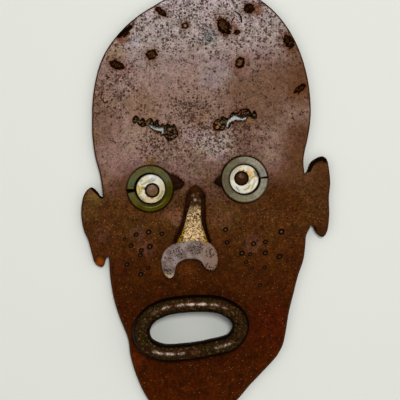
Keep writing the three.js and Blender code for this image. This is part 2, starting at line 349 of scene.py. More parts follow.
def applied(mesh: Mesh, kind: str, set_up: Callable[[bpy.types.Modifier], None]) -> Mesh:
    """Run one modifier on a mesh.

    Args:
        mesh: The mesh to start from.
        kind: The modifier's type.
        set_up: Sets the modifier's inputs.

    Returns:
        The result as a plain mesh.
    """
    carrier = link("carrier", mesh)
    modifier = carrier.modifiers.new("run", kind)
    set_up(modifier)
    evaluated = carrier.evaluated_get(bpy.context.evaluated_depsgraph_get())
    made = bpy.data.meshes.new_from_object(evaluated)
    carrier.modifiers.remove(modifier)
    bpy.data.objects.remove(carrier)
    return made


def finish_object(name: str, mesh: Mesh, finish: "Finish", stands_for: str | None = None) -> Piece:
    """Make a mesh a piece of the mask.

    Args:
        name: The piece's name.
        mesh: Its mesh, in metres and in place.
        finish: Its finish.
        stands_for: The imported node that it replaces, if it does.

    Returns:
        The piece, riding on the mask's one body.
    """
    mesh.name = name
    mesh.shade_smooth()
    mesh.materials.clear()
    mesh.materials.append(finish.material())
    piece = link(name, mesh)
    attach(piece, BODY)
    if stands_for:
        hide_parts(stands_for)
    log.info("%s: %d faces", name, len(mesh.polygons))
    return piece


class MeshStock:
    """Points, marks and faces of one mesh while it is being made."""

    def __init__(self) -> None:
        """Start empty."""
        self.points: list[np.ndarray] = []
        self.marks: list[Marks] = []
        self.faces: list[tuple[int, ...]] = []

    def add(self, flat: np.ndarray, height: np.ndarray | float, marks: Marks | None = None) -> np.ndarray:
        """Add points.

        Args:
            flat: Rows of x and y.
            height: Their z, or one for all.
            marks: Numbers for each point, or one for all, for the finishes.

        Returns:
            The new points' indices.
        """
        first = sum(map(len, self.points))
        self.points.append(np.column_stack([flat, np.broadcast_to(height, len(flat))]))
        self.marks.append({mark: np.broadcast_to(value, len(flat)) for mark, value in (marks or {}).items()})
        return np.arange(first, first + len(flat))

    def fill(self, faces: np.ndarray) -> None:
        """Add faces, given as rows of indices."""
        self.faces += [tuple(row) for row in faces.tolist()]

    def band(self, lower: np.ndarray, upper: np.ndarray) -> None:
        """Join two closed rings of the same length with four-sided faces."""
        self.fill(np.column_stack([lower, np.roll(lower, -1), np.roll(upper, -1), upper]))

    def make(self, name: str, finish: "Finish", stands_for: str) -> Piece:
        """Turn the stock into a piece in metres, its faces pointing outwards.

        Args:
            name: The piece's name.
            finish: Its finish.
            stands_for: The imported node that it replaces.

        Returns:
            The piece.
        """
        mesh = bpy.data.meshes.new(name)
        mesh.from_pydata((np.vstack(self.points) * METRES).tolist(), [], self.faces)
        for mark in Mark:
            if any(mark in marks for marks in self.marks):
                parts = zip(self.marks, self.points)
                store(mesh, mark.value, np.concatenate([m.get(mark, np.zeros(len(p))) for m, p in parts]))
        face_outwards(mesh)
        return finish_object(name, mesh, finish, stands_for)


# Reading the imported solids


@dataclass(frozen=True)
class RaisedSpot:
    """A weld bead or spatter drop that stands up from the plate: place, size and turn of its long way."""

    x: float
    y: float
    length: float
    width: float
    height: float
    turn: float

    def radius(self, points: np.ndarray) -> np.ndarray:
        """Tell how far out each point is.

        Args:
            points: Rows of x and y.

        Returns:
            0 at the middle, 1 at the foot of the spot.
        """
        right, up = points[:, 0] - self.x, points[:, 1] - self.y
        cos, sin = math.cos(self.turn), math.sin(self.turn)
        along, across = right * cos + up * sin, up * cos - right * sin
        return np.hypot(along / (self.length / 2), across / (self.width / 2))


class PackedSolid:
    """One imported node, read for its outlines, raised spots and heights."""

    def __init__(self, node: str) -> None:
        """Read a node.

        Args:
            node: The node's name.
        """
        self.work = bmesh.new()
        self.work.from_mesh(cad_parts[node].data)
        bmesh.ops.remove_doubles(self.work, verts=self.work.verts, dist=SAME_POINT)
        bmesh.ops.scale(self.work, vec=(1 / METRES,) * 3, verts=self.work.verts)
        self.work.verts.index_update()
        self.work.faces.index_update()
        self.work.verts.ensure_lookup_table()
        self.tree = BVHTree.FromBMesh(self.work)

    def loops(self, level: float) -> list[np.ndarray]:
        """Find the outlines of the flat faces at one height.

        Args:
            level: The height.

        Returns:
            The outlines, largest first, each anticlockwise.
        """
        flat = [f for f in self.work.faces if all(abs(v.co.z - level) < IN_LEVEL for v in f.verts)]
        numbers = {face.index for face in flat}
        neighbours: dict[int, list[int]] = {}
        for edge in (edge for face in flat for edge in face.edges):
            if sum(face.index in numbers for face in edge.link_faces) == 1:
                a, b = (vert.index for vert in edge.verts)
                neighbours.setdefault(a, []).append(b)
                neighbours.setdefault(b, []).append(a)
        loops = []
        while neighbours:
            onward = [next(iter(neighbours))]
            chain = []
            while onward:
                chain.append(onward[0])
                onward = [n for n in neighbours.pop(onward[0]) if n in neighbours]
            loop = np.array([self.work.verts[i].co[:2] for i in chain])
            loops.append(loop if signed_area(loop) > 0 else loop[::-1])
        return sorted(loops, key=lambda loop: -abs(signed_area(loop)))

    def raised_spots(self, level: float) -> list[RaisedSpot]:
        """Find the separate spots that stand above a height.

        Args:
            level: The height.

        Returns:
            The spots, longest first.
        """
        high = {v.index for v in self.work.verts if v.co.z > level + ABOVE_LEVEL}
        spots = []
        while high:
            stack = [high.pop()]
            found = set(stack)
            while stack:
                edges = self.work.verts[stack.pop()].link_edges
                for index in (vert.index for edge in edges for vert in edge.verts):
                    found.add(index)
                    if index in high:
                        high.discard(index)
                        stack.append(index)
            points = np.array([self.work.verts[i].co for i in sorted(found)])
            middle = (points[:, :2].min(axis=0) + points[:, :2].max(axis=0)) / 2
            spread = points[:, :2] - middle
            axes = np.linalg.eigh(spread.T @ spread)[1]
            length, width = np.ptp(spread @ axes[:, 1]), np.ptp(spread @ axes[:, 0])
            turn = math.atan2(axes[1, 1], axes[0, 1])
            spots.append(RaisedSpot(*middle, length, width, points[:, 2].max() - level, turn))
        return sorted(spots, key=lambda spot: -spot.length)

    def heights(self, points: np.ndarray) -> np.ndarray:
        """Height of the front surface at each point, or the plate's front where nothing is met."""
        hits = [self.tree.ray_cast(Vector((x, y, 8 * PLATE_TOP)), Vector((0, 0, -1)))[0] for x, y in points]
        return np.array([hit.z if hit else PLATE_TOP for hit in hits])


# Node trees


class Reading:
    """A value in a node tree, which plain arithmetic turns into more nodes."""

    def __init__(self, sketch: "NodeSketch", socket: Socket) -> None:
        """Keep the tree and the output that gives the value."""
        self.sketch = sketch
        self.socket = socket

    def __add__(self, other: object) -> "Reading":
        """Sum."""
        return self.sketch.math("ADD", self, other)

    def __sub__(self, other: object) -> "Reading":
        """Difference."""
        return self.sketch.math("SUBTRACT", self, other)

    def __rsub__(self, other: object) -> "Reading":
        """Difference from a plain number."""
        return self.sketch.math("SUBTRACT", other, self)

    def __mul__(self, other: object) -> "Reading":
        """Product."""
        return self.sketch.math("MULTIPLY", self, other)

    def __truediv__(self, other: object) -> "Reading":
        """Quotient."""
        return self.sketch.math("DIVIDE", self, other)

    def __abs__(self) -> "Reading":
        """Size without its sign."""
        return self.sketch.math("ABSOLUTE", self)

    def ramp(self, low: float, high: float, start: float = 0.0, end: float = 1.0) -> "Reading":
        """Go smoothly from start to end as this goes from low to high."""
        inputs = {"Value": self, "From Min": low, "From Max": high, "To Min": start, "To Max": end}
        return self.sketch.get("ShaderNodeMapRange", inputs, interpolation_type="SMOOTHSTEP")


Inputs = dict["str | int", object]


class NodeSketch:
    """Writes a node tree with one short call for each node."""

    place: Reading

    def __init__(self, tree: bpy.types.NodeTree) -> None:
        """Start on a tree, emptied."""
        self.tree = tree
        tree.nodes.clear()

    def feed(self, target: Socket, value: object) -> None:
        """Link a reading to an input, or set a fixed value there.

        Args:
            target: The input.
            value: The reading, number, vector, colour or other value.
        """
        if isinstance(value, Reading):
            self.tree.links.new(value.socket, target)
        elif target.type == "RGBA" and len(value) == 3:
            target.default_value = paint(value)
        else:
            target.default_value = value

    def add(self, kind: str, inputs: Inputs | None = None, **settings: object) -> bpy.types.Node:
        """Add a node.

        Args:
            kind: The node's type.
            inputs: What goes into it, for each input that isn't left as it comes.
            **settings: The node's own properties.

        Returns:
            The node.
        """
        node = self.tree.nodes.new(kind)
        for name, value in settings.items():
            setattr(node, name, value)
        for key, value in (inputs or {}).items():
            self.feed(node.inputs[key], value)
        return node

    def get(
        self, kind: str, inputs: Inputs | None = None, output: str | int = 0, **settings: object
    ) -> Reading:
        """Add a node and read one of its outputs."""
        return Reading(self, self.add(kind, inputs, **settings).outputs[output])

    def math(self, operation: str, first: object, second: object = 0.0) -> Reading:
        """Combine two numbers, or change the first one."""
        return self.get("ShaderNodeMath", {0: first, 1: second}, operation=operation)

    def largest(self, *values: object) -> Reading:
        """Pick the largest of some numbers."""
        return reduce(lambda one, other: self.math("MAXIMUM", one, other), values)

    def vectors(self, operation: str, first: object, second: object, output: str | int = 0) -> Reading:
        """Combine two vectors."""
        return self.get("ShaderNodeVectorMath", {0: first, 1: second}, output, operation=operation)

    def split(self, vector: Reading) -> list[Reading]:
        """Take a vector apart."""
        return [Reading(self, part) for part in self.add("ShaderNodeSeparateXYZ", {0: vector}).outputs]

    def noise(
        self, size: float, detail: float, roughness: float, distortion: float = 0.0, shift: float = 0.0
    ) -> Reading:
        """Read noise at the tree's place.

        Args:
            size: Width of the noise's lumps in millimetres.
            detail: How much finer noise goes into it.
            roughness: How strong the finer noise is.
            distortion: How far it is pulled about.
            shift: Moves it elsewhere.

        Returns:
            A number from 0 to 1.
        """
        grain = {"Detail": detail, "Roughness": roughness, "Distortion": distortion}
        inputs = {"Vector": self.place, "W": shift, "Scale": 1 / (size * METRES), **grain}
        return self.get("ShaderNodeTexNoise", inputs, noise_dimensions="4D")


class Coat(NodeSketch):
    """A material round one principled shader, its colour laid on layer by layer."""

    def __init__(self, name: str) -> None:
        """Start a material on Object coordinates.

        Args:
            name: The material's name.
        """
        self.material = bpy.data.materials.new(name)
        self.material.use_nodes = True
        super().__init__(self.material.node_tree)
        self.shader = self.add("ShaderNodeBsdfPrincipled")
        self.add("ShaderNodeOutputMaterial", {"Surface": Reading(self, self.shader.outputs["BSDF"])})
        self.place = self.get("ShaderNodeTexCoord", output="Object")
        self.x, self.y, self.z = (part * (1 / METRES) for part in self.split(self.place))
        self.colour: object = (0, 0, 0)

    def set(self, **values: object) -> None:
        """Set the shader's inputs, named with underscores for spaces."""
        for name, value in values.items():
            self.feed(self.shader.inputs[name.replace("_", " ")], value)

    def mark(self, mark: Mark) -> Reading:
        """Read a mark that the mesh carries."""
        return self.get("ShaderNodeAttribute", output="Fac", attribute_name=mark.value)

    def blend(self, amount: object, first: object, second: object, mode: str = "MIX") -> Reading:
        """Mix two colours."""
        inputs = {"Factor": amount, 6: first, 7: second}
        return self.get("ShaderNodeMix", inputs, 2, data_type="RGBA", blend_type=mode, clamp_factor=True)

    def lay(self, tone: object, amount: object, mode: str = "MIX") -> None:
        """Lay a colour over the colour so far, where amount is above 0."""
        self.colour = self.blend(amount, self.colour, tone, mode)

    def shade(self, value: Reading, dark: float, light: float, amount: object = 1.0) -> None:
        """Darken and lighten the colour so far as value goes from low to high."""
        grey = value.ramp(0.36, 0.64, dark, light)
        self.lay(self.get("ShaderNodeCombineColor", dict.fromkeys(range(3), grey)), amount, "MULTIPLY")

    def stops(self, value: Reading, stops: Sequence[tuple[float, Colour]]) -> Reading:
        """Look a colour up along a row of colour stops.

        Args:
            value: Where to look, 0 to 1.
            stops: The place and colour of each stop.

        Returns:
            The colour.
        """
        node = self.add("ShaderNodeValToRGB", {0: value})
        row = node.color_ramp.elements
        while len(row) > 1:
            row.remove(row[0])
        row[0].position = stops[0][0]
        row[0].color = paint(stops[0][1])
        for place, tone in stops[1:]:
            row.new(place).color = paint(tone)
        return Reading(self, node.outputs[0])

    def cells(self, size: float, shift: float) -> tuple[Reading, Reading]:
        """Scatter cells over the face.

        Args:
            size: Width of a cell.
            shift: Moves the pattern, in metres.

        Returns:
            The distance from each cell's middle, in cells, and one random number for each cell.
        """
        moved = self.vectors("ADD", self.place, (shift, -shift, 0))
        inputs = {"Vector": moved, "Scale": 1 / (size * METRES)}
        cell = self.add("ShaderNodeTexVoronoi", inputs, voronoi_dimensions="2D")
        pick = self.get("ShaderNodeSeparateColor", {0: Reading(self, cell.outputs["Color"])})
        return Reading(self, cell.outputs["Distance"]), pick

    def dots(self, size: float, share: object, shift: float, reach: float = 0.4) -> Reading:
        """Scatter ragged dots over the face.

        Args:
            size: Distance between neighbours.
            share: How many of the places hold a dot, 0 to 1.
            shift: Moves the pattern, in metres.
            reach: Radius of a dot, in cells.

        Returns:
            1 inside a dot and 0 outside.
        """
        far, pick = self.cells(size, shift)
        ragged = far + (self.noise(size * 0.45, 2, 0.5, shift=shift * 90) - 0.5) * 0.5
        return ragged.ramp(reach, reach * 0.6) * (share - pick).ramp(0, 0.05)

    def spot(self, x: float, y: float, reach: float, edge: float = 0.3) -> Reading:
        """Make a soft ragged patch round one place on the face.

        Args:
            x: Its place.
            y: Its place.
            reach: Its radius.
            edge: Where its full middle ends, as a share of its radius.

        Returns:
            1 in the middle and 0 outside.
        """
        flat = self.vectors("MULTIPLY", self.place, (1, 1, 0))
        far = self.vectors("DISTANCE", flat, (x * METRES, y * METRES, 0), "Value")
        wobble = (self.noise(reach * 0.45, 3, 0.6, shift=x) - 0.5) * (reach * 1.1)
        return (far * (1 / METRES) + wobble).ramp(reach, reach * edge)

    def stain_and_painted_light(self, colour: object, stains_and_painted_light: Stains) -> object:
        """Lay soft patches over a colour: rust and dirt, and in places painted light or shade.

        Args:
            colour: The colour.
            stains_and_painted_light: The patches.

        Returns:
            The colour with the patches laid on.
        """
        for x, y, reach, strength, tone in stains_and_painted_light:
            colour = self.blend(self.spot(x, y, reach) * strength, colour, tone)
        return colour

    def relief(self, height: Reading, depth: float, strength: float) -> None:
        """Raise the surface's shading by a height of 0 to 1 that stands for depth millimetres."""
        inputs = {"Strength": strength, "Distance": depth * METRES, "Height": height}
        self.set(Normal=self.get("ShaderNodeBump", inputs))


class GrownPiece(NodeSketch):
    """A geometry node tree with named size inputs, grown once into a plain mesh."""

    def __init__(self, name: str, finish: "Finish", **sizes: float) -> None:
        """Start a tree.

        Args:
            name: The name of the piece that it makes.
            finish: The piece's finish.
            **sizes: The named inputs and their values, angles in radians and lengths in metres.
        """
        super().__init__(bpy.data.node_groups.new(name + "_tree", "GeometryNodeTree"))
        sockets = self.tree.interface
        sockets.new_socket("Geometry", in_out="INPUT", socket_type="NodeSocketGeometry")
        sockets.new_socket("Geometry", in_out="OUTPUT", socket_type="NodeSocketGeometry")
        self.values = {}
        for label, value in sizes.items():
            socket = sockets.new_socket(label, in_out="INPUT", socket_type="NodeSocketFloat")
            self.values[socket.identifier] = value
        self.name = name
        self.finish = finish
        self.source = self.add("NodeGroupInput")
        self.start = self.size("Geometry")
        self.place = self.get("GeometryNodeInputPosition")

    def size(self, label: str) -> Reading:
        """Read one of the named inputs."""
        return Reading(self, self.source.outputs[label])

    def named(self, label: str) -> Reading:
        """Read a number that the points carry."""
        return self.get("GeometryNodeInputNamedAttribute", {"Name": label}, "Attribute", data_type="FLOAT")

    def combine(self, x: object = 0.0, y: object = 0.0, z: object = 0.0) -> Reading:
        """Make a vector."""
        return self.get("ShaderNodeCombineXYZ", {0: x, 1: y, 2: z})

    def move(self, geometry: Reading, way: str, vector: Reading) -> Reading:
        """Move points by an "Offset", or to a "Position"."""
        return self.get("GeometryNodeSetPosition", {"Geometry": geometry, way: vector})

    def keep(self, geometry: Reading, mark: Mark, value: Reading) -> Reading:
        """Keep a number at each point for the finishes."""
        inputs = {"Geometry": geometry, "Name": mark.value, "Value": value}
        return self.get("GeometryNodeStoreNamedAttribute", inputs, data_type="FLOAT", domain="POINT")

    def balls(self, cuts: int) -> Reading:
        """Make a ball 1 across, cut finer for each of its cuts."""
        return self.get("GeometryNodeMeshIcoSphere", {"Radius": 0.5, "Subdivisions": cuts})

    def real(self, geometry: Reading) -> Reading:
        """Turn copies into real geometry."""
        return self.get("GeometryNodeRealizeInstances", {0: geometry})

    def copies(self, shape: Reading, scale: Reading, **turn: Reading) -> Reading:
        """Put a shape at each point, as real geometry."""
        inputs = {"Points": self.start, "Instance": shape, "Scale": scale, **turn}
        return self.real(self.get("GeometryNodeInstanceOnPoints", inputs))

    def tube(self, path: Reading, section: Reading, caps: bool) -> Reading:
        """Draw a section along a path."""
        inputs = {"Curve": path, "Profile Curve": section, "Fill Caps": caps}
        return self.get("GeometryNodeCurveToMesh", inputs)

    def roughen(self, geometry: Reading, size: float, depth: Reading, shift: float) -> Reading:
        """Sink a surface along its normals by noise.

        Args:
            geometry: The surface.
            size: Width of the noise's lumps.
            depth: How deep the noise goes at most.
            shift: Moves the noise elsewhere.

        Returns:
            The rough surface.
        """
        amount = self.noise(size, 3, 0.55, shift=shift) * depth
        inputs = {0: self.get("GeometryNodeInputNormal"), "Scale": amount * -1.0}
        return self.move(geometry, "Offset", self.get("ShaderNodeVectorMath", inputs, operation="SCALE"))

    def set_up(self, modifier: bpy.types.Modifier) -> None:
        """Give a modifier this tree and its sizes.

        Args:
            modifier: The modifier.
        """
        modifier.node_group = self.tree
        for identifier, value in self.values.items():
            modifier[identifier] = value

    def grow(self, geometry: Reading, seed: Mesh, stands_for: str | None = None) -> Piece:
        """Finish the tree and run it once on a mesh.

        Args:
            geometry: The tree's last geometry.
            seed: The mesh that goes into the tree.
            stands_for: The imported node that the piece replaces, if it does.

        Returns:
            The piece.
        """
        inputs = {"Geometry": self.real(geometry), "Material": self.finish.material()}
        self.add("NodeGroupOutput", {0: self.get("GeometryNodeSetMaterial", inputs)})
        mesh = applied(seed, "NODES", self.set_up)
        face_outwards(mesh, merge=10 * SAME_POINT)
        return finish_object(self.name, mesh, self.finish, stands_for)


def paint(colour: Colour) -> Colour:
    """Turn a screen colour, 0 to 255, into the linear colour with alpha that a shader takes."""
    shares = [part / 255 for part in colour]
    return (*(s / 12.92 if s <= 0.04045 else ((s + 0.055) / 1.055) ** 2.4 for s in shares), 1.0)


def seed_mesh(places: np.ndarray, edges: Sequence[tuple[int, int]] = (), **numbers: Sequence[float]) -> Mesh:
    """Make the mesh that a tree starts from.

    Args:
        places: Rows of x, y and z.
        edges: Pairs of places that are joined.
        **numbers: A named number for each place, already in metres or radians.

    Returns:
        The mesh.
    """
    mesh = bpy.data.meshes.new("seed")
    mesh.from_pydata((places * METRES).tolist(), edges, [])
    for name, values in numbers.items():
        store(mesh, name, values)
    return mesh


# Finishes


@dataclass(frozen=True, kw_only=True)
class Finish:
    """A finish: the record's slot that it belongs to, and its material's name where the slot's won't do."""

    slot: Slot = Slot.PLATE
    name: str = ""

    @cache
    def material(self) -> bpy.types.Material:
        """Write the material once, and give the same one to every piece that wears it.

        Returns:
            The material.
        """
        coat = Coat(self.name or self.slot.value)
        self.dress(coat)
        coat.set(Base_Color=coat.colour)
        return coat.material

    def dress(self, coat: Coat) -> None:
        """Lay the finish on; each finish has its own way."""
        raise NotImplementedError


@dataclass(frozen=True, kw_only=True)
class PlateFinish(Finish):
    """Varnished mill scale: lavender grey, partly a painted sheen, and speckled at the crown; rust brown
    towards the chin.
    """

    # The ground's colour at each height between chin and crown; the paler lavender towards the crown is
    # partly a painted sheen.
    tones: tuple[tuple[float, Colour], ...] = (
        (-158, (66, 25, 1)), (-104, (60, 21, 1)), (-76, (60, 22, 2)), (-50, (64, 29, 4)),
        (-22, (74, 40, 12)), (0, (80, 47, 20)), (16, (100, 69, 52)), (30, (136, 108, 96)),
        (50, (146, 119, 106)), (78, (138, 110, 98)), (100, (145, 121, 114)), (125, (168, 153, 148)),
        (158, (182, 168, 170)),
    )
    # Patches of rust and tone, with painted highlights among them: the pale lavender patches at (6, 46),
    # (-10, 50) and (-50.5, 117).
    stains_and_painted_light: Stains = (
        (72, 92, 36, 0.95, (94, 60, 36)), (78, 40, 36, 0.95, (88, 54, 30)), (90, 12, 26, 1.0, (72, 42, 16)),
        (36, 74, 38, 0.85, (104, 73, 54)), (34, 40, 14, 0.6, (108, 80, 66)),
        (-82, 74, 22, 0.7, (134, 106, 88)), (-78, 56, 26, 0.7, (108, 78, 62)),
        (6, 46, 18, 0.65, (172, 158, 156)), (-10, 50, 10, 0.5, (166, 146, 142)),
        (-58, 92, 14, 0.5, (150, 124, 114)), (57, 3, 18, 0.8, (66, 32, 4)), (-79, 6, 9, 0.8, (104, 76, 36)),
        (-75, -22, 9, 0.5, (84, 54, 36)), (-19.8, -11.2, 7, 0.6, (116, 80, 60)),
        (-71, 93, 13, 0.4, (130, 104, 92)), (-49, -20.7, 8, 0.5, (92, 62, 48)),
        (-42.6, -31.8, 8, 0.45, (92, 62, 48)), (33.6, -28.4, 10, 0.4, (90, 60, 44)),
        (-26, -3, 13, 0.6, (106, 70, 46)), (13, -9, 15, 0.6, (98, 64, 36)),
        (-35.5, 50.5, 2.6, 0.6, (128, 96, 44)), (31.2, 61.0, 3.0, 0.6, (128, 96, 44)),
        (-45, 70, 18, 0.65, (128, 98, 74)), (-4, 62, 12, 0.5, (128, 94, 66)),
        (8, 94, 16, 0.5, (146, 132, 134)), (3, 121, 8, 0.75, (130, 138, 138)),
        (-66, 110, 12, 0.65, (144, 114, 84)), (-50.5, 117, 5, 0.5, (160, 150, 168)),
        (-80.5, 97, 4, 0.5, (128, 118, 128)), (-60, 119, 6, 0.75, (118, 66, 34)),
        (-62.5, 119.5, 3, 0.6, (70, 36, 18)), (46, -86, 22, 0.6, (68, 18, 2)),
        (-62, -48, 12, 0.6, (58, 22, 6)), (-34, -44, 8, 0.5, (76, 46, 10)), (-80, 48, 9, 0.6, (112, 84, 56)),
        (37, 140, 7, 0.8, (120, 70, 40)), (21, 127.5, 4.5, 0.7, (128, 84, 56)),
        (-84, -4, 13, 0.7, (86, 60, 26)), (-79, -43, 5, 0.9, (118, 54, 8)), (-39, 30, 7, 0.7, (124, 90, 46)),
        (-14, -46, 9, 0.6, (88, 44, 10)), (-54, -112, 12, 0.6, (92, 32, 4)),
    )
    ear_lobe: Stains = ((-76.0, -41.4, 4.2, 0.95, (132, 62, 8)),)
    nose_top: Rows = (-8.6, 12.6, 5.5)
    nose_light: Colour = (60, 26, 8)
    speck: Colour = (60, 36, 27)
    dark_speck: Colour = (28, 10, 4)
    singe_and_shade: Colour = (72, 40, 18)
    scorch: Colour = (18, 8, 3)
    halo: Colour = (104, 56, 24)
    recess: Colour = (29, 10, 5)
    pale: Colour = (150, 112, 72)
    glint: Colour = (150, 112, 94)
    cool: Colour = (1.04, 0.94, 1.01, 1.0)
    warm: Colour = (0.97, 1.02, 0.9, 1.0)

    def dress(self, coat: Coat) -> None:
        """Lay on the ground, its mottle and specks, the burnt edges, painted shade, sheen and glints, and
        the varnish.

        Args:
            coat: The material so far.
        """
        drift = (coat.noise(26, 3, 0.6) - 0.5) * 30
        height = coat.y + drift + coat.largest(coat.x, 0.0) * -0.14
        low, high = self.tones[0][0], self.tones[-1][0]
        ground = [((at - low) / (high - low), tone) for at, tone in self.tones]
        coat.colour = coat.stain_and_painted_light(coat.stops((height - low) * (1 / (high - low)), ground), self.stains_and_painted_light)
        hue = coat.noise(11, 3, 0.6, shift=21).ramp(0.4, 0.6)
        coat.lay(coat.blend(hue, self.cool, self.warm), coat.y.ramp(60, 20, 0.3, 1.0), "MULTIPLY")
        mottle = coat.noise(3.0, 4, 0.7, shift=3)
        grain = coat.noise(0.9, 3, 0.7, shift=5)
        coat.shade(mottle, 0.8, 1.22)
        coat.shade(grain, 0.77, 1.24)
        for size, dark, light in ((1.3, 0.64, 1.34), (7.0, 0.74, 1.22)):
            coat.shade(coat.noise(size, 3, 0.7, 0.6, shift=8), dark, light, coat.y.ramp(40, -10))
        specks = self.specks(coat)
        deep = coat.blend(coat.y.ramp(40, 0), self.speck, self.dark_speck)
        strength = coat.largest(height.ramp(-80, -20, 0.2, 0.65), height.ramp(4, 42, 0.0, 0.95))
        coat.lay(deep, specks * strength)
        # Painted glints: small pale flecks, strongest on the lower face.
        glint_flecks = coat.dots(1.2, coat.y.ramp(-40, 0, 0.06, 0.14), 0.5, 0.32)
        coat.lay(self.pale, glint_flecks * coat.y.ramp(40, -20, 0.2, 0.55))
        coat.lay(self.halo, coat.mark(Mark.HALO) * 0.8)
        # Painted shade: the hollows and the edges of the mouth and hollows go dark, and the pocket round the
        # nose is painted lighter at its top, where more light reaches.
        recess = coat.mark(Mark.RECESS)
        coat.lay(self.recess, recess)
        coat.lay(self.nose_light, recess * coat.spot(*self.nose_top))
        # Burns, and with them the painted shade round the eyes and the spatter drops.
        burnt = coat.mark(Mark.SCORCH) * mottle.ramp(0.3, 0.5, 0.8, 1.0)
        coat.lay(self.singe_and_shade, burnt.ramp(0.05, 0.5))
        coat.lay(self.scorch, burnt.ramp(0.4, 0.95))
        coat.colour = coat.stain_and_painted_light(coat.colour, self.ear_lobe)
        coat.lay(self.glint, coat.mark(Mark.SHINE))
        coat.set(Roughness=specks * 0.15 + mottle * 0.3 + 0.33)
        coat.set(Specular_IOR_Level=burnt.ramp(0.0, 0.6, 0.05, 0.0), Specular_Tint=LAMPLIGHT)
        coat.relief(grain * 0.5 + mottle * 0.7 + specks * -0.8, 0.16, 0.8)

    @staticmethod
    def specks(coat: Coat) -> Reading:
        """Scatter dark pits, crowded at the crown, at the left temple and between the brows.

        Args:
            coat: The material so far.

        Returns:
            1 in the pits and 0 outside.
        """
        clump = (coat.noise(6, 3, 0.6, shift=14) - 0.5) * 1.15
        crown = coat.y.ramp(92, 135, 0.1, 0.42)
        crowd = crown + coat.spot(-2, 36, 52, 0.5) * 0.4 + coat.spot(-66, 84, 26) * 0.26 + clump
        large = coat.dots(3.1, crowd, 0.31, 0.34)
        small = coat.dots(1.9, crowd, 0.77, 0.4)
        dust = coat.dots(1.2, crowd + 0.16, 0.53, 0.46)
        line = abs(coat.noise(3.2, 2, 0.5, 1.3, shift=41) - 0.5).ramp(0.07, 0.025)
        broken = coat.noise(3.8, 2, 0.6, shift=43) + crowd * 0.3
        eaten = line * broken.ramp(0.6, 0.68) * coat.y.ramp(10, 40)
        return coat.largest(large, eaten, small * 0.85, dust * 0.6)


@dataclass(frozen=True, kw_only=True)
class LockWasherFinish(Finish):
    """Dull plated spring steel, painted paler on one side as a highlight, with turned streaks, grime, and
    painted shade on its walls.
    """

    x: float
    y: float
    # The washer is painted paler as a highlight towards one side, given by its angle; pale is the
    # highlight's colour.
    lit_side: float
    base: Colour
    pale: Colour
    tint: Colour
    dark: Colour
    stains_and_painted_light: Stains
    # Where the inner bevel is painted dark as shade, with a painted highlight line at the given radius: x, y
    # and reach of each.
    bevel_shades: Rows = ()
    bevel_radius: float = 13.4
    bevel_highlight: Colour = (132, 128, 76)
    glow: Colour = (235, 215, 150)

    def dress(self, coat: Coat) -> None:
        """Lay on the plating with its painted highlight side, its streaks, the bevel's painted shade and
        highlight line, the grime and the painted shade of the walls.

        Args:
            coat: The material so far.
        """
        right, up = coat.x - self.x, coat.y - self.y
        angle = math.radians(self.lit_side)
        side = right * math.cos(angle) + up * math.sin(angle)
        cloud = coat.noise(8, 3, 0.6, shift=2)
        # Painted highlight: from base to pale towards the lit side.
        coat.colour = coat.blend((side + (cloud - 0.5) * 24).ramp(-11, 11), self.base, self.pale)
        coat.lay(self.tint, coat.noise(5, 2, 0.5, shift=7).ramp(0.54, 0.68, 0, 0.6))
        coat.colour = coat.stain_and_painted_light(coat.colour, self.stains_and_painted_light)
        radius = coat.math("SQRT", right * right + up * up)
        inputs = {"W": radius, "Scale": 1.6, "Detail": 2}
        turned = coat.get("ShaderNodeTexNoise", inputs, noise_dimensions="1D")
        streak = turned * 0.6 + cloud * 0.4
        coat.shade(streak, 0.8, 1.22)
        off_line = radius - self.bevel_radius
        for bevel in self.bevel_shades:
            here = coat.spot(*bevel)
            coat.lay(self.dark, here * off_line.ramp(-0.1, -0.6, 0, 0.5))
            coat.lay(self.bevel_highlight, here * abs(off_line).ramp(0.5, 0.15, 0, 0.6))
        grime = coat.noise(1.3, 4, 0.7, shift=5)
        coat.lay(self.dark, grime.ramp(0.52, 0.68, 0, 0.6))
        # Painted shade on the walls and split ends.
        coat.lay(self.dark, coat.mark(Mark.RIM))
        coat.set(Roughness=grime.ramp(0.3, 0.7, 0.4, 0.6), Metallic=0.05)
        coat.set(Specular_IOR_Level=0.06, Specular_Tint=self.glow)
        coat.relief(grime + streak * 0.8, 0.12, 0.7)


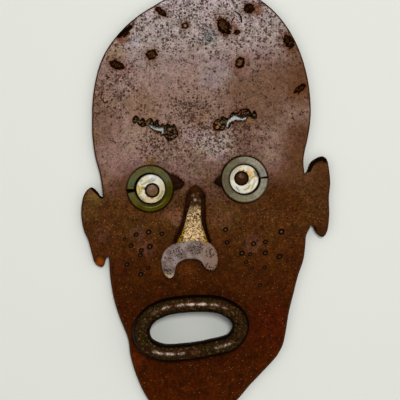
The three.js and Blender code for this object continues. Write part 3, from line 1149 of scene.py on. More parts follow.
@dataclass(frozen=True, kw_only=True)
class FlatWasherFinish(Finish):
    """Crinkled white coat, rusted yellow and brown, with painted highlights, and painted shade in its
    creases and at its edges.
    """

    slot: Slot = Slot.FLAT_WASHER
    white: Colour = (230, 225, 206)
    warm: Colour = (214, 194, 146)
    shade: Colour = (128, 114, 74)
    fold: Colour = (168, 158, 124)
    crease: Colour = (122, 106, 52)
    brown: Colour = (58, 30, 8)
    # Among these, painted light: the bluish white at the top of the left washer is a painted highlight, the
    # browner cream below its hole painted shade, and the dark patch at (37.6, 22.2) on the right washer a
    # painted shadow.
    stains_and_painted_light: Stains = (
        (-38, 19, 5, 0.7, (206, 214, 212)), (-32, 11, 7, 0.8, (204, 188, 150)),
        (-35, 5, 7, 0.85, (200, 180, 130)), (-42, 3.5, 6, 0.8, (206, 182, 136)),
        (-46.4, 17.2, 2.1, 0.8, (166, 164, 84)), (-39, 19.6, 2.4, 0.8, (255, 255, 250)),
        (-46.0, 12.6, 1.8, 0.9, (252, 226, 156)), (-46.2, 8.8, 1.8, 0.9, (246, 206, 118)),
        (-48.7, 12.0, 2.2, 1.0, (236, 202, 84)), (-48.4, 9.6, 2.2, 1.0, (236, 202, 84)),
        (-48.2, 7.4, 1.8, 1.0, (236, 202, 72)), (-47.4, 5.4, 1.3, 0.8, (150, 130, 40)),
        (-45.2, 11.9, 2.1, 1.0, (158, 138, 30)), (-43.3, 11.3, 1.7, 1.0, (58, 26, 2)),
        (-42.9, 8.4, 1.2, 0.9, (70, 36, 10)), (-41.4, 6.2, 1.2, 0.8, (70, 36, 10)),
        (-38.3, 4.6, 1.4, 0.9, (150, 98, 22)), (-32.6, 6.4, 1.6, 0.8, (186, 176, 70)),
        (-34.4, 4.0, 1.2, 0.7, (176, 160, 76)), (-31.0, 10.0, 1.2, 0.6, (196, 180, 120)),
        (18.6, 20.5, 5, 0.7, (188, 176, 152)), (21.5, 25.6, 5, 0.7, (176, 164, 138)),
        (23, 11.5, 5, 0.6, (220, 222, 214)), (34.2, 14.4, 4.6, 0.7, (248, 244, 220)),
        (26.5, 21.8, 6.0, 0.7, (238, 214, 160)), (31.9, 22.0, 3.5, 0.9, (214, 168, 72)),
        (35.4, 15.2, 2.6, 0.9, (255, 252, 232)), (35.2, 19.8, 2.0, 0.8, (252, 218, 160)),
        (30.8, 25.4, 2.2, 0.7, (204, 178, 138)), (32.2, 20.2, 1.6, 0.9, (196, 148, 52)),
        (34.0, 24.4, 1.8, 0.9, (250, 222, 142)), (37.6, 22.2, 4.4, 1.0, (44, 34, 14)),
        (33.2, 19.4, 1.5, 0.9, (232, 196, 112)), (24.6, 24.2, 1.5, 0.8, (184, 130, 62)),
        (27.2, 24.3, 1.3, 0.9, (116, 62, 16)), (29.6, 23.2, 1.4, 0.9, (158, 100, 32)),
        (31.4, 17.0, 1.5, 0.8, (176, 136, 62)), (20.6, 19.4, 1.2, 0.7, (206, 160, 90)),
    )

    def dress(self, coat: Coat) -> None:
        """Lay on the white with its patches, the painted shade of its crinkles and creases, and the brown,
        partly rust and partly painted shade, of its edges.

        Args:
            coat: The material so far.
        """
        crinkle = coat.noise(3.4, 4, 0.65, 1.6, shift=4)
        warmth = coat.noise(7, 2, 0.5, shift=9).ramp(0.52, 0.64, 0, 0.6)
        coat.colour = coat.stain_and_painted_light(coat.blend(warmth, self.white, self.warm), self.stains_and_painted_light)
        coat.lay(self.shade, crinkle.ramp(0.42, 0.3, 0, 0.3))
        fold = abs(coat.noise(6, 1, 0.5, 2.6, shift=31) - 0.5)
        coat.lay(self.shade, fold.ramp(0.03, 0.01, 0, 0.25))
        # Painted shade: soft beside the creases, darker in them, and brown at the bore, which is also rust,
        # and at the outer edge.
        coat.lay(self.fold, coat.mark(Mark.HALO) * 0.4)
        coat.lay(self.crease, coat.mark(Mark.SCORCH) * 0.6)
        coat.lay(self.brown, coat.mark(Mark.RIM) * crinkle.ramp(0.3, 0.5, 1.0, 0.7))
        coat.set(Roughness=0.42, Specular_IOR_Level=0.3)
        coat.relief(crinkle, 0.5, 0.8)


@dataclass(frozen=True, kw_only=True)
class RodFinish(Finish):
    """Matt rust with a greyer cut face, partly a painted highlight on its upper side, and a rim painted dark
    as shade; the right one darker than the left.
    """

    slot: Slot = Slot.ROD
    rust: Colour = (108, 80, 54)
    dark_rust: Colour = (52, 28, 10)
    grey: Colour = (128, 102, 90)
    rim: Colour = (34, 14, 4)
    # Where the cut face is painted greyer, partly as a highlight on the dome's upper side: x, y and reach.
    left_cut_and_highlight: Rows = (-38.6, 12.4, 3.4)
    right_cut_and_highlight: Rows = (25.6, 20.6, 2.6)

    def dress(self, coat: Coat) -> None:
        """Lay on the rust, the cut faces with their painted highlight, the pits and the painted shade of the
        rims.

        Args:
            coat: The material so far.
        """
        cloud = coat.noise(3.0, 4, 0.7, shift=6)
        coat.colour = coat.blend(coat.x.ramp(-5, 5), self.rust, self.dark_rust)
        cut = coat.largest(coat.spot(*self.left_cut_and_highlight), coat.spot(*self.right_cut_and_highlight) * 0.7)
        coat.lay(self.grey, cut * cloud.ramp(0.36, 0.6))
        pits = coat.noise(1.0, 3, 0.6, shift=1)
        coat.lay(self.rim, pits.ramp(0.52, 0.64, 0, 0.7))
        # Painted shade round the rim.
        coat.lay(self.rim, coat.mark(Mark.RIM))
        coat.set(Roughness=0.6, Specular_IOR_Level=0.06, Specular_Tint=LAMPLIGHT)
        coat.relief(pits, 0.3, 0.9)


@dataclass(frozen=True, kw_only=True)
class WrenchFinish(Finish):
    """Old paint: lavender grey on the head, cream on the shank, gone to dark metal in flecks, with glints
    painted on the dark metal at the shank's top.
    """

    slot: Slot = Slot.WRENCH
    head: Colour = (144, 127, 122)
    warm_head: Colour = (132, 103, 86)
    head_dark: Colour = (108, 90, 82)
    cream: Colour = (224, 190, 140)
    worn_cream: Colour = (118, 84, 38)
    gold: Colour = (168, 130, 10)
    metal: Colour = (62, 38, 14)
    bare_and_glint: Colour = (34, 17, 4)
    fleck: Colour = (24, 14, 8)
    rust_fleck: Colour = (52, 30, 8)
    # Glints painted on the dark metal at the shank's top, as highlights.
    glints: Stains = (
        (-9.1, 6.8, 1.6, 0.8, (160, 116, 96)), (-7.6, 3.2, 1.8, 0.9, (150, 136, 108)),
        (-4.0, 2.9, 1.8, 0.9, (166, 124, 84)), (-10.2, 2.0, 1.4, 0.7, (120, 82, 40)),
        (-5.0, 8.1, 1.1, 0.6, (96, 62, 44)),
    )
    flecked: Rows = ((-19.8, -33.5, 6), (-6.8, -31.3, 6), (3.4, -34.2, 5), (-27, -47.5, 5), (2, -45.7, 5))
    head_level: float = 10.35
    head_end: float = -27.0
    cream_end: float = -1.0

    def dress(self, coat: Coat) -> None:
        """Lay the shank's paint, with glints painted on its metal top, and the head's side by side, then
        their flecks and the dark walls.

        Args:
            coat: The material so far.
        """
        cloud = coat.noise(6, 4, 0.6, shift=8)
        worn = coat.noise(1.9, 3, 0.65, 0.8, shift=17)
        ragged = coat.y + coat.noise(2.5, 4, 0.7, shift=3) * 16 - 8
        bare_and_glint = ragged.ramp(self.cream_end - 6, self.cream_end + 2)
        raised = coat.largest(
            coat.z.ramp(self.head_level - 0.2, self.head_level + 0.2),
            coat.y.ramp(self.head_end, self.head_end - 1),
        )
        metal = coat.stain_and_painted_light(self.metal, self.glints)
        metal = coat.blend(worn.ramp(0.42, 0.56, 0, 0.9), metal, self.bare_and_glint)
        shank = coat.blend(bare_and_glint, self.shank_paint(coat, worn), metal)
        coat.colour = coat.blend(raised, shank, self.head_paint(coat, cloud))
        crowd = coat.largest(*(coat.spot(*place) for place in self.flecked)) * 0.7 + 0.1
        chips = coat.noise(1.35, 3, 0.6, 0.9, shift=2) + coat.y.ramp(-16, -3, 0.0, 0.07)
        on_shank = chips.ramp(0.53, 0.6) * (1.0 - bare_and_glint) * (1.0 - raised)
        on_head = coat.largest(coat.dots(1.9, crowd, 0.2), coat.dots(1.2, crowd, 0.9)) * 0.85 * raised
        flecks = on_shank + on_head
        coat.lay(coat.blend(raised, self.rust_fleck, self.fleck), flecks)
        coat.lay(self.metal, coat.z.ramp(9.4, 5.6) * raised)
        coat.set(Roughness=flecks.ramp(0, 1, 0.55, 0.4), Specular_IOR_Level=0.05, Specular_Tint=LAMPLIGHT)
        coat.relief(cloud - flecks * 0.6, 0.3, 0.8)

    def head_paint(self, coat: Coat, cloud: Reading) -> Reading:
        """Mix the head's paint, warmer to the right and cream at the jaws' tips.

        Args:
            coat: The material so far.
            cloud: Soft noise.

        Returns:
            The paint's colour.
        """
        head = coat.blend(cloud.ramp(0.62, 0.4), self.head, self.head_dark)
        head = coat.blend((coat.y + cloud * 8).ramp(-44, -49) * 0.7, head, self.cream)
        return coat.blend(coat.x.ramp(-8, 4, 0, 0.8), head, self.warm_head)

    def shank_paint(self, coat: Coat, worn: Reading) -> Reading:
        """Mix the shank's cream paint, with golden rust along both edges.

        Args:
            coat: The material so far.
            worn: Fine noise that says where the paint is gone.

        Returns:
            The paint's colour.
        """
        taper = coat.y.ramp(2, -27, 2.8, 9.4)
        edges = (abs(coat.x + 8.6) - taper).ramp(-3.2, -0.2) * coat.y.ramp(-8, -18)
        gilt = coat.blend(worn.ramp(0.46, 0.56, 0, 0.85), self.gold, self.metal)
        cream = coat.blend(worn.ramp(0.48, 0.58, 0, 0.9), self.cream, self.worn_cream)
        return coat.blend(edges, cream, gilt)


@dataclass(frozen=True, kw_only=True)
class ChainFinish(Finish):
    """Dark bronze steel under old varnish, black in its pits, with a painted highlight along the bar's crest
    and painted shade on its flanks and foot.
    """

    slot: Slot = Slot.CHAIN
    bronze: Colour = (41, 24, 8)
    olive: Colour = (39, 28, 6)
    red: Colour = (50, 18, 6)
    black: Colour = (9, 4, 1)
    fleck: Colour = (124, 98, 50)
    crest_sheen: Colour = (112, 84, 58)
    bare_and_glint: Colour = (226, 202, 188)
    # Where a highlight is painted on the bar: x, y, reach and how much.
    highlight_spots: Rows = (
        (-36, -76.5, 5, 0.5), (-28, -73.5, 6, 0.7), (-18, -71.3, 6, 0.9), (-11, -70.8, 6, 1),
        (-3, -70.6, 6, 1), (6, -71.5, 6, 0.8), (14, -73, 4, 0.6), (-34, -105.3, 6, 0.9), (-25, -105.4, 6, 1),
        (-17, -105.2, 5, 0.7), (-8, -104.4, 4, 0.4), (9, -101, 5, 0.7), (15, -98.5, 5, 0.8),
        (-43, -84, 4, 0.35), (23.5, -92, 3, 0.3),
    )

    def dress(self, coat: Coat) -> None:
        """Lay on the bronze, its pits and flecks, the painted shade of the flanks and the painted highlight
        on the crest.

        Args:
            coat: The material so far.
        """
        coat.colour = coat.blend(coat.noise(9, 3, 0.6, shift=1).ramp(0.42, 0.6), self.bronze, self.olive)
        patch = coat.noise(5, 3, 0.6, shift=4)
        coat.lay(self.red, patch.ramp(0.52, 0.62))
        pits = coat.noise(1.9, 4, 0.75, shift=7)
        coat.lay(self.black, pits.ramp(0.5, 0.6, 0, 0.8))
        coat.lay(self.fleck, coat.noise(1.3, 3, 0.7, shift=19).ramp(0.55, 0.66, 0, 0.65))
        # Painted shade: the flanks and foot of the bar go black.
        coat.lay(self.black, (coat.mark(Mark.RIM) + (patch - 0.5) * 0.8).ramp(0.1, 0.6))
        # Painted highlight: a warm sheen along the crest and bright broken streaks in it.
        worn = coat.largest(*(coat.spot(x, y, reach) * depth for x, y, reach, depth in self.highlight_spots))
        ragged = (coat.noise(1.5, 4, 0.75, 0.5, shift=12) - 0.5) * 2.4
        crest = coat.mark(Mark.SHINE) * worn
        coat.lay(self.crest_sheen, crest * 0.4)
        coat.lay(self.bare_and_glint, (crest + ragged * crest.ramp(0, 0.3)).ramp(0.4, 1.35))
        coat.set(Roughness=pits.ramp(0.4, 0.6, 0.3, 0.6), Specular_IOR_Level=0.04, Specular_Tint=LAMPLIGHT)
        coat.relief(pits * -1.0 + patch * 0.8, 0.5, 0.8)


@dataclass(frozen=True, kw_only=True)
class SlagFinish(Finish):
    """Glassy burnt slag: black and olive, with maroon, rust and blue-green lumps, painted highlights on
    their crests and painted shade between and below them.
    """

    name: str = "burnt_slag"
    black: Colour = (20, 10, 4)
    brown: Colour = (90, 54, 28)
    olive: Colour = (98, 84, 48)
    crest: Colour = (180, 150, 112)
    lumps: Stains = (
        (27.5, 65, 4.0, 0.85, (96, 38, 28)), (-26, 51, 3.2, 0.85, (96, 38, 28)),
        (-45, 60, 2.0, 0.85, (96, 38, 28)), (9.8, 58.6, 2.0, 0.85, (74, 98, 84)),
        (-26, 53.2, 1.4, 0.85, (74, 98, 84)), (30, 66.2, 1.2, 0.85, (74, 98, 84)),
        (5.6, 55.0, 7.0, 0.85, (190, 112, 52)), (-21, 57, 2.6, 0.85, (190, 112, 52)),
        (-42, 61, 2.4, 0.85, (190, 112, 52)),
    )

    def dress(self, coat: Coat) -> None:
        """Lay on the lumps' colours, the painted highlights on their crests and the painted shade, in black,
        between and below them.

        Args:
            coat: The material so far.
        """
        far, pick = coat.cells(1.8, 0.4)
        coat.colour = coat.stain_and_painted_light(coat.blend(pick.ramp(0.3, 0.7), self.brown, self.olive), self.lumps)
        grain = coat.noise(0.9, 3, 0.6, shift=9)
        # Painted highlights on the lumps' crests, then painted shade between the lumps and over the low
        # ones.
        coat.lay(self.crest, far.ramp(0.3, 0.05) * pick.ramp(0.45, 0.5, 0.0, 0.5))
        coat.lay(self.black, (far + (grain - 0.5) * 0.5).ramp(0.36, 0.56))
        coat.lay(self.black, coat.z.ramp(3.6, 2.0))
        coat.set(Roughness=0.3, Specular_IOR_Level=0.12)
        coat.relief(grain, 0.3, 0.8)


@dataclass(frozen=True, kw_only=True)
class FloorFinish(Finish):
    """Plain pale floor."""

    name: str = "pale_floor"
    tone: Colour = (229, 231, 224)

    def dress(self, coat: Coat) -> None:
        """Lay on one plain tone."""
        coat.colour = self.tone
        coat.set(Roughness=0.9, Specular_IOR_Level=0.1)


# Sub-assemblies


@dataclass
class FacePlate:
    """The torch-cut plate with its ears, burnt brows, hollows, weld beads and molten edge."""

    finish: Finish = PlateFinish()
    node: str = "face_plate"
    eyes: Rows = ((-39.7, 11.3, 16.5), (27.95, 18.05, 16.5))
    bead_height: float = 1.0
    hollow_level: float = 1.5
    hollow_rings: int = 3
    hollow_share: float = 0.75
    hollow_lean: float = 0.25
    floor_step: float = 0.8
    floor_lift: float = 1.1
    plain_step: float = 1.15
    fine_step: float = 0.42
    back_step: float = 4.0
    edge_step: float = 0.8
    brow_step: float = 0.4
    wall_rings: int = 8
    edge_round: float = 0.45
    edge_width: float = 1.6
    hole_width: float = 1.2
    drag_depth: float = 0.16
    drag_pitch: float = 1.3
    drag_lag: float = 2.2
    wall_wear: float = 0.2
    foot_inset: float = 0.25
    dent_depth: float = 0.25
    ripple_depth: float = 0.05
    back_dents: float = 0.12
    facet_depth: float = 0.08
    facet_melt: float = 0.35
    facet_reach: float = 0.35
    lip_height: float = 0.55
    brow_share: float = 0.25
    brow_level: float = 65.0
    brow_margin: float = 2.8
    spot_margin: float = 1.35
    line_margin: float = 1.6
    # Beads with an open middle: x, y and how open; past 0.3 the middle also gets a painted highlight.
    open_beads: Rows = ((-14.7, 128.7, 0.9), (24.7, 101.9, 0.5), (13.3, 128.2, 0.35), (-39.2, 108.4, 0.3))
    # Burnt lines on the front: half their width, how dark they are, and their corners.
    char_lines: Sequence[tuple[float, float, Rows]] = (
        (0.5, 1.0, ((21.6, 139), (24.5, 136.9), (25.8, 134.3), (25.9, 131.4))),
        (0.4, 0.9, ((18.7, 131.4), (19.8, 133.6), (20.9, 135))),
        (0.45, 0.7, ((-74.5, 81), (-75.5, 76.7), (-72.6, 72.9), (-70.2, 74.7))),
        (0.5, 0.7, ((-71.6, 93.6), (-70.6, 91.8), (-69.4, 91.6))),
        (0.45, 0.6, ((-65.4, 88.2), (-62.5, 91))),
        (0.4, 0.6, ((-79.3, 66.2), (-77.6, 65.6), (-76, 66.2))),
        (1.6, 1.0, ((-62.4, 121.2), (-58, 125), (-54, 127.8))),
        (0.5, 1.0, ((13.2, 127.8), (14.8, 130), (16.4, 127.8), (15, 125.4), (13.2, 127.2))),
        (0.25, 0.5, ((32, -65.9), (40, -65), (52.2, -61.6))),
        (1.2, 1.0, ((-82, 12.2), (-75.2, 5.4))),
        (1.5, 1.0, ((74.6, 24.5), (76.5, 28.7), (79.8, 31.6), (83.9, 33), (87.6, 31.6))),
        (0.6, 0.9, ((-79.8, -44.3), (-77.4, -40), (-73.1, -39.2))),
        (1.6, 0.8, ((78.5, -16.5), (79.5, -22.5))),
    )

    def __post_init__(self) -> None:
        """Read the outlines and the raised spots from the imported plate."""
        self.solid = PackedSolid(self.node)
        outline, mouth, *brows = self.solid.loops(0.0)
        low, high = outline.min(axis=0), outline.max(axis=0)
        self.outline = np.clip(smooth_loop(outline, self.edge_step), low, high)
        self.mouth = smooth_loop(mouth, self.edge_step)
        self.brows = [smooth_loop(brow, self.brow_step) for brow in brows]
        sunk = self.solid.loops(self.hollow_level)
        self.hollows = [smooth_loop(loop, self.edge_step * self.hollow_share) for loop in sunk]
        spots = self.solid.raised_spots(PLATE_TOP)
        self.beads = [spot for spot in spots if spot.height > self.bead_height]
        self.drops = [spot for spot in spots if spot.height <= self.bead_height]

    def build(self) -> None:
        """Make the front, then the walls and hollows below its edges, then the back."""
        stock = MeshStock()
        through = [self.outline, self.mouth, *self.brows]
        loops = [*through, *self.hollows]
        inner = self.front_points(loops)
        flat = np.vstack([*loops, inner])
        height, marks = self.front_surface(flat)
        front = stock.add(flat, height, marks)
        stock.fill(front[triangulate(loops, inner)])
        start = 0
        feet = []
        for number, loop in enumerate(loops):
            edge = front[start : start + len(loop)]
            if number < len(through):
                feet.append(self.cut_wall(stock, loop, edge, height[edge], number))
            else:
                self.hollow(stock, loop, edge, height[edge])
            start += len(loop)
        self.back(stock, feet)
        stock.make("torch_cut_face", self.finish, self.node)

    def front_points(self, loops: Loops) -> np.ndarray:
        """Spread points over the front, close together where it is busy.

        Args:
            loops: The front's edges.

        Returns:
            Points as rows of x and y.
        """
        plain = grid_inside(loops, self.plain_step, 1)
        fine = grid_inside(loops, self.fine_step, 2)
        plain = plain[(near(loops, plain) > self.plain_step * 0.55) & ~self.is_busy(plain)]
        fine = fine[self.is_busy(fine)]
        fine = fine[near(self.brows, fine) > self.fine_step * 0.6]
        fine = fine[near([self.outline, self.mouth, *self.hollows], fine) > self.edge_step * 0.6]
        return np.vstack([plain, fine])

    def is_busy(self, points: np.ndarray) -> np.ndarray:
        """Tell which points are near a brow, a bead, a drop or a burnt line.

        Args:
            points: Rows of x and y.

        Returns:
            True or False for each point.
        """
        busy = near(self.brows, points) < self.brow_margin
        for spot in [*self.beads, *self.drops]:
            busy |= spot.radius(points) < self.spot_margin
        return busy | (near([walk(corners) for *_, corners in self.char_lines], points) < self.line_margin)

    def front_surface(self, points: np.ndarray) -> tuple[np.ndarray, Marks]:
        """Work out the front's height and marks.

        Args:
            points: Rows of x and y.

        Returns:
            A height for each point, and the marks.
        """
        to_edge = near([self.outline], points)
        to_hole = near([self.mouth, *self.hollows], points)
        to_brow = near(self.brows, points)
        lumps = lumpy(points, 1.3, 2.5)
        height = PLATE_TOP - self.dent_depth * lumpy(points, 14, 1.5)
        height -= self.ripple_depth * (1 + rough(points, 3.5, 4.5))
        height -= self.edge_round * fade(to_edge, 0, self.edge_width) * (0.5 + lumps)
        height -= self.edge_round * 0.7 * fade(to_hole, 0, self.hole_width)
        height += self.lip_height * fade(to_brow, 0.5, 2.4) * lumps
        height -= 0.5 * fade(to_brow, 0, 0.5)
        inward = self.facet_reach * points / np.linalg.norm(points, axis=1, keepdims=True)
        cad = self.solid.heights(points - inward)
        facet = cad < PLATE_TOP - self.facet_depth
        melted = cad + self.facet_melt * rough(points, 2.2, 7.5)
        height = np.where(facet, np.minimum(height, melted), height)
        scorch = [
            fade(to_edge, 0.25, 1.5) * 0.85,
            fade(to_brow, 0.25, 1.1),
            facet * (0.35 + 0.4 * lumps),
            # Painted shade round the spatter drops' feet.
            *(fade(spot.radius(points), 1.1, 1.7) * 0.9 for spot in self.drops),
        ]
        # Round each eye: a dark ring at the lock washer's foot, partly weld seam and partly painted shade,
        # and the plate inside it, seen through the gap round the flat washer, painted dark as shade.
        for x, y, radius in self.eyes:
            away = np.hypot(points[:, 0] - x, points[:, 1] - y)
            scorch += [fade(np.abs(away - radius), 0.4, 1.4), away < radius]
        for half, dark, corners in self.char_lines:
            away = near([walk(corners)], points) * (0.7 + 0.6 * lumps)
            scorch.append(fade(away, half * 0.6, half * 1.3) * dark)
        bead_height, marks = self.bead_surface(points)
        marks[Mark.SCORCH] = np.maximum.reduce([*scorch, marks[Mark.SCORCH]])
        marks[Mark.HALO] = np.maximum(fade(to_brow, 0.8, 3.0) * 0.25, marks[Mark.HALO])
        # Painted shade along the edges of the mouth and the hollows.
        marks[Mark.RECESS] = fade(to_hole * (0.5 + lumps), 0.1, 0.8) * 0.7
        return height + bead_height, marks

    def bead_surface(self, points: np.ndarray) -> tuple[np.ndarray, Marks]:
        """Work out what the forehead's weld beads add.

        Args:
            points: Rows of x and y.

        Returns:
            Their height over the plate at each point, and their marks.
        """
        height, scorch, halo, shine = (np.zeros(len(points)) for _ in range(4))
        for number, spot in enumerate(self.beads):
            at = np.flatnonzero(spot.radius(points) < 3.2)
            local = points[at]
            radius = spot.radius(local) * (1 + 0.2 * rough(local, 2.3, 20 + number))
            radius *= 1 + 0.36 * rough(local, 0.9, 60 + number)
            lumps = rough(local, 1.3, 40 + number)
            dome = np.clip(1 - radius**2, 0, 1) ** 0.55
            crater = 1 - 0.45 * fade(radius, 0.1, 0.6)
            height[at] = np.maximum(height[at], spot.height * dome * crater * (0.85 + 0.3 * lumps))
            ring = fade(np.abs(radius - 0.88), 0.08, 0.3)
            inside = fade(radius, 0.85, 1.1) * np.clip(0.8 + 0.7 * lumps, 0.3, 1)
            for x, y, openness in self.open_beads:
                if math.hypot(spot.x - x, spot.y - y) < spot.length / 2:
                    inside *= 1 - openness * fade(radius, 0.4, 0.75)
                    shine[at] = np.maximum(shine[at], fade(radius, 0.15, 0.4) * (openness - 0.3))
            char = 0.45 if spot.y < self.brow_level else 1.0
            scorch[at] = np.maximum(scorch[at], np.maximum(ring, inside) * char)
            reach = 1.5 + 0.7 * rough(local, 2.4, 80 + number)
            halo[at] = np.maximum(halo[at], fade(radius, 0.9, 1.2 + reach) * 0.6)
        return height, {Mark.SCORCH: np.clip(scorch, 0, 1), Mark.HALO: halo, Mark.SHINE: shine}

    def cut_wall(
        self, stock: MeshStock, loop: np.ndarray, edge: np.ndarray, top: np.ndarray, number: int
    ) -> np.ndarray:
        """Make the wall that the torch left, with its drag lines, down to the back.

        Args:
            stock: The mesh so far.
            loop: The edge seen from the front.
            edge: Indices of the front's points along it.
            top: Their heights.
            number: 0 for the outline, 1 for the mouth, more for the brows.

        Returns:
            Indices of the wall's foot at the back.
        """
        into_metal = outward_normals(loop) * (1 if number else -1)
        along = np.cumsum(np.linalg.norm(np.roll(loop, -1, axis=0) - loop, axis=1))
        turns = max(1, round(along[-1] / self.drag_pitch))
        for ring in range(1, self.wall_rings + 1):
            depth = ring / self.wall_rings
            lag = self.drag_lag * depth**2
            wave = np.sin(2 * math.pi * turns * along / along[-1] + lag + rough(loop, 9, 3.5) * 2)
            worn = lumpy(loop, 2.0, 5.5 + depth)
            inset = self.drag_depth * (0.5 + 0.5 * wave) + self.wall_wear * worn
            inset += self.foot_inset if ring == self.wall_rings else 0.0
            inset *= min(1.0, ring / 2) * (1.0 if number < 2 else self.brow_share)
            scorch = 0.75 if number else 0.45 + 0.3 * worn
            place = loop + into_metal * inset[:, None]
            here = stock.add(place, top * (1 - depth), {Mark.SCORCH: scorch})
            stock.band(here, edge)
            edge = here
        return edge

    def hollow(self, stock: MeshStock, loop: np.ndarray, edge: np.ndarray, top: np.ndarray) -> None:
        """Make one hollow: a leaning wall and a lumpy floor.

        Args:
            stock: The mesh so far.
            loop: The hollow's edge.
            edge: Indices of the front's points along it.
            top: Their heights.
        """
        for ring in range(1, self.hollow_rings + 1):
            depth = ring / self.hollow_rings
            place = loop - outward_normals(loop) * (self.hollow_lean * depth)
            height = top + (self.hollow_level - top) * depth
            # The hollow's wall and floor are marked for painted shade, darker with depth.
            here = stock.add(place, height, {Mark.RECESS: 0.6 + 0.4 * depth})
            stock.band(here, edge)
            edge = here
        inner = grid_inside([place], self.floor_step, 3)
        inner = inner[near([place], inner) > 0.45]
        lift = self.floor_lift * lumpy(inner, 2.4, 6.5) * fade(near([place], inner), 2.0, 0.0)
        marks = {Mark.RECESS: 1.0, Mark.SCORCH: 0.35 * lumpy(inner, 2.4, 8.5)}
        floor = stock.add(inner, self.hollow_level + lift, marks)
        stock.fill(np.concatenate([edge, floor])[triangulate([place], inner)])

    def back(self, stock: MeshStock, feet: Loops) -> None:
        """Close the plate with its flat back, dented a little inwards.

        Args:
            stock: The mesh so far.
            feet: Indices of the walls' feet.
        """
        points = np.vstack(stock.points)[:, :2]
        loops = [points[foot] for foot in feet]
        inner = grid_inside(loops, self.back_step, 4)
        inner = inner[near(loops, inner) > 1.2]
        halo = 0.35 + 0.35 * rough(inner, 30, 2.2)
        back = stock.add(inner, self.back_dents * lumpy(inner, 11, 9.5), {Mark.HALO: halo})
        stock.fill(np.concatenate([*feet, back])[triangulate(loops, inner)])


@dataclass
class SpatterDrops:
    """Round drops of weld spatter frozen on the cheeks, each with a sunk middle."""

    spots: Sequence[RaisedSpot]
    finish: Finish = PlateFinish()
    sunk: float = 0.25
    wobble: float = 0.25
    wobble_size: float = 1.2
    dimple: float = 0.45
    swell: float = 1.55
    slimness: float = 0.8
    rise: float = 1.25

    def build(self) -> None:
        """Grow a drop at each place."""
        seed = seed_mesh(
            np.array([(spot.x, spot.y, PLATE_TOP) for spot in self.spots]),
            width=[(spot.length + spot.width) / 2 * self.swell * METRES for spot in self.spots],
            turn=[spot.turn for spot in self.spots],
        )
        sizes = {"height": self.spots[0].height * METRES, "sunk": self.sunk * METRES}
        grown = GrownPiece("cheek_spatter_drops", self.finish, wobble=self.wobble * METRES, **sizes)
        x, y, z = grown.split(grown.place)
        radius = grown.math("SQRT", x * x + y * y) * 2.0
        sink = radius.ramp(0.62, 0.1, 0.0, self.dimple) * z.ramp(-0.1, 0.2)
        drop = grown.move(grown.balls(4), "Position", grown.combine(x, y, z - sink))
        # A dark outer ring, painted shade at the drop's foot, and a painted highlight in the middle.
        drop = grown.keep(drop, Mark.SCORCH, radius.ramp(0.25, 0.5, 0.3, 1.0))
        drop = grown.keep(drop, Mark.SHINE, radius.ramp(0.34, 0.1, 0.0, 0.7))
        wide = grown.named("width")
        tall = (grown.size("height") + grown.size("sunk")) * self.rise
        turn = grown.combine(z=grown.named("turn"))
        drops = grown.copies(drop, grown.combine(wide, wide * self.slimness, tall * 2), Rotation=turn)
        bumpy = grown.roughen(drops, self.wobble_size, grown.size("wobble"), 2)
        grown.grow(grown.move(bumpy, "Offset", grown.combine(z=grown.size("sunk") * -1.0)), seed)


@dataclass
class BrowSlag:
    """Lumps of slag that choke a burnt brow slot and leave a crooked bright slit open."""

    name: str
    loop: np.ndarray
    seed: int
    # The slit's middle line: x, y and half its width.
    slit: Rows
    finish: Finish = SlagFinish()
    pitch: float = 0.8
    narrow: float = 1.3
    wide: float = 2.4
    low: float = 0.9
    high: float = 3.9
    flatness: float = 0.8
    wobble: float = 0.4
    wobble_size: float = 1.0
    # How far a lump's middle stays off the slit, and how far its side may reach into it.
    clearance: float = 0.25
    overhang: float = 0.3

    def build(self) -> None:
        """Grow a lump at each place that is clear of the slit."""
        rng = np.random.default_rng(self.seed)
        places = grid_inside([self.loop], self.pitch, self.seed)
        x, y, half = walk(self.slit).T
        clear = np.min(np.hypot(places[:, :1] - x, places[:, 1:] - y) - half, axis=1)
        places, clear = places[clear > self.clearance], clear[clear > self.clearance]
        width = np.minimum(rng.uniform(self.narrow, self.wide, len(places)), 2 * clear + self.overhang)
        height = rng.uniform(self.low, self.high, len(places))
        seed = seed_mesh(np.column_stack([places, height]), width=width * METRES)
        grown = GrownPiece(self.name, self.finish, wobble=self.wobble * METRES)
        wide = grown.named("width")
        lumps = grown.copies(grown.balls(2), grown.combine(wide, wide, wide * self.flatness))
        grown.grow(grown.roughen(lumps, self.wobble_size, grown.size("wobble"), self.seed), seed)


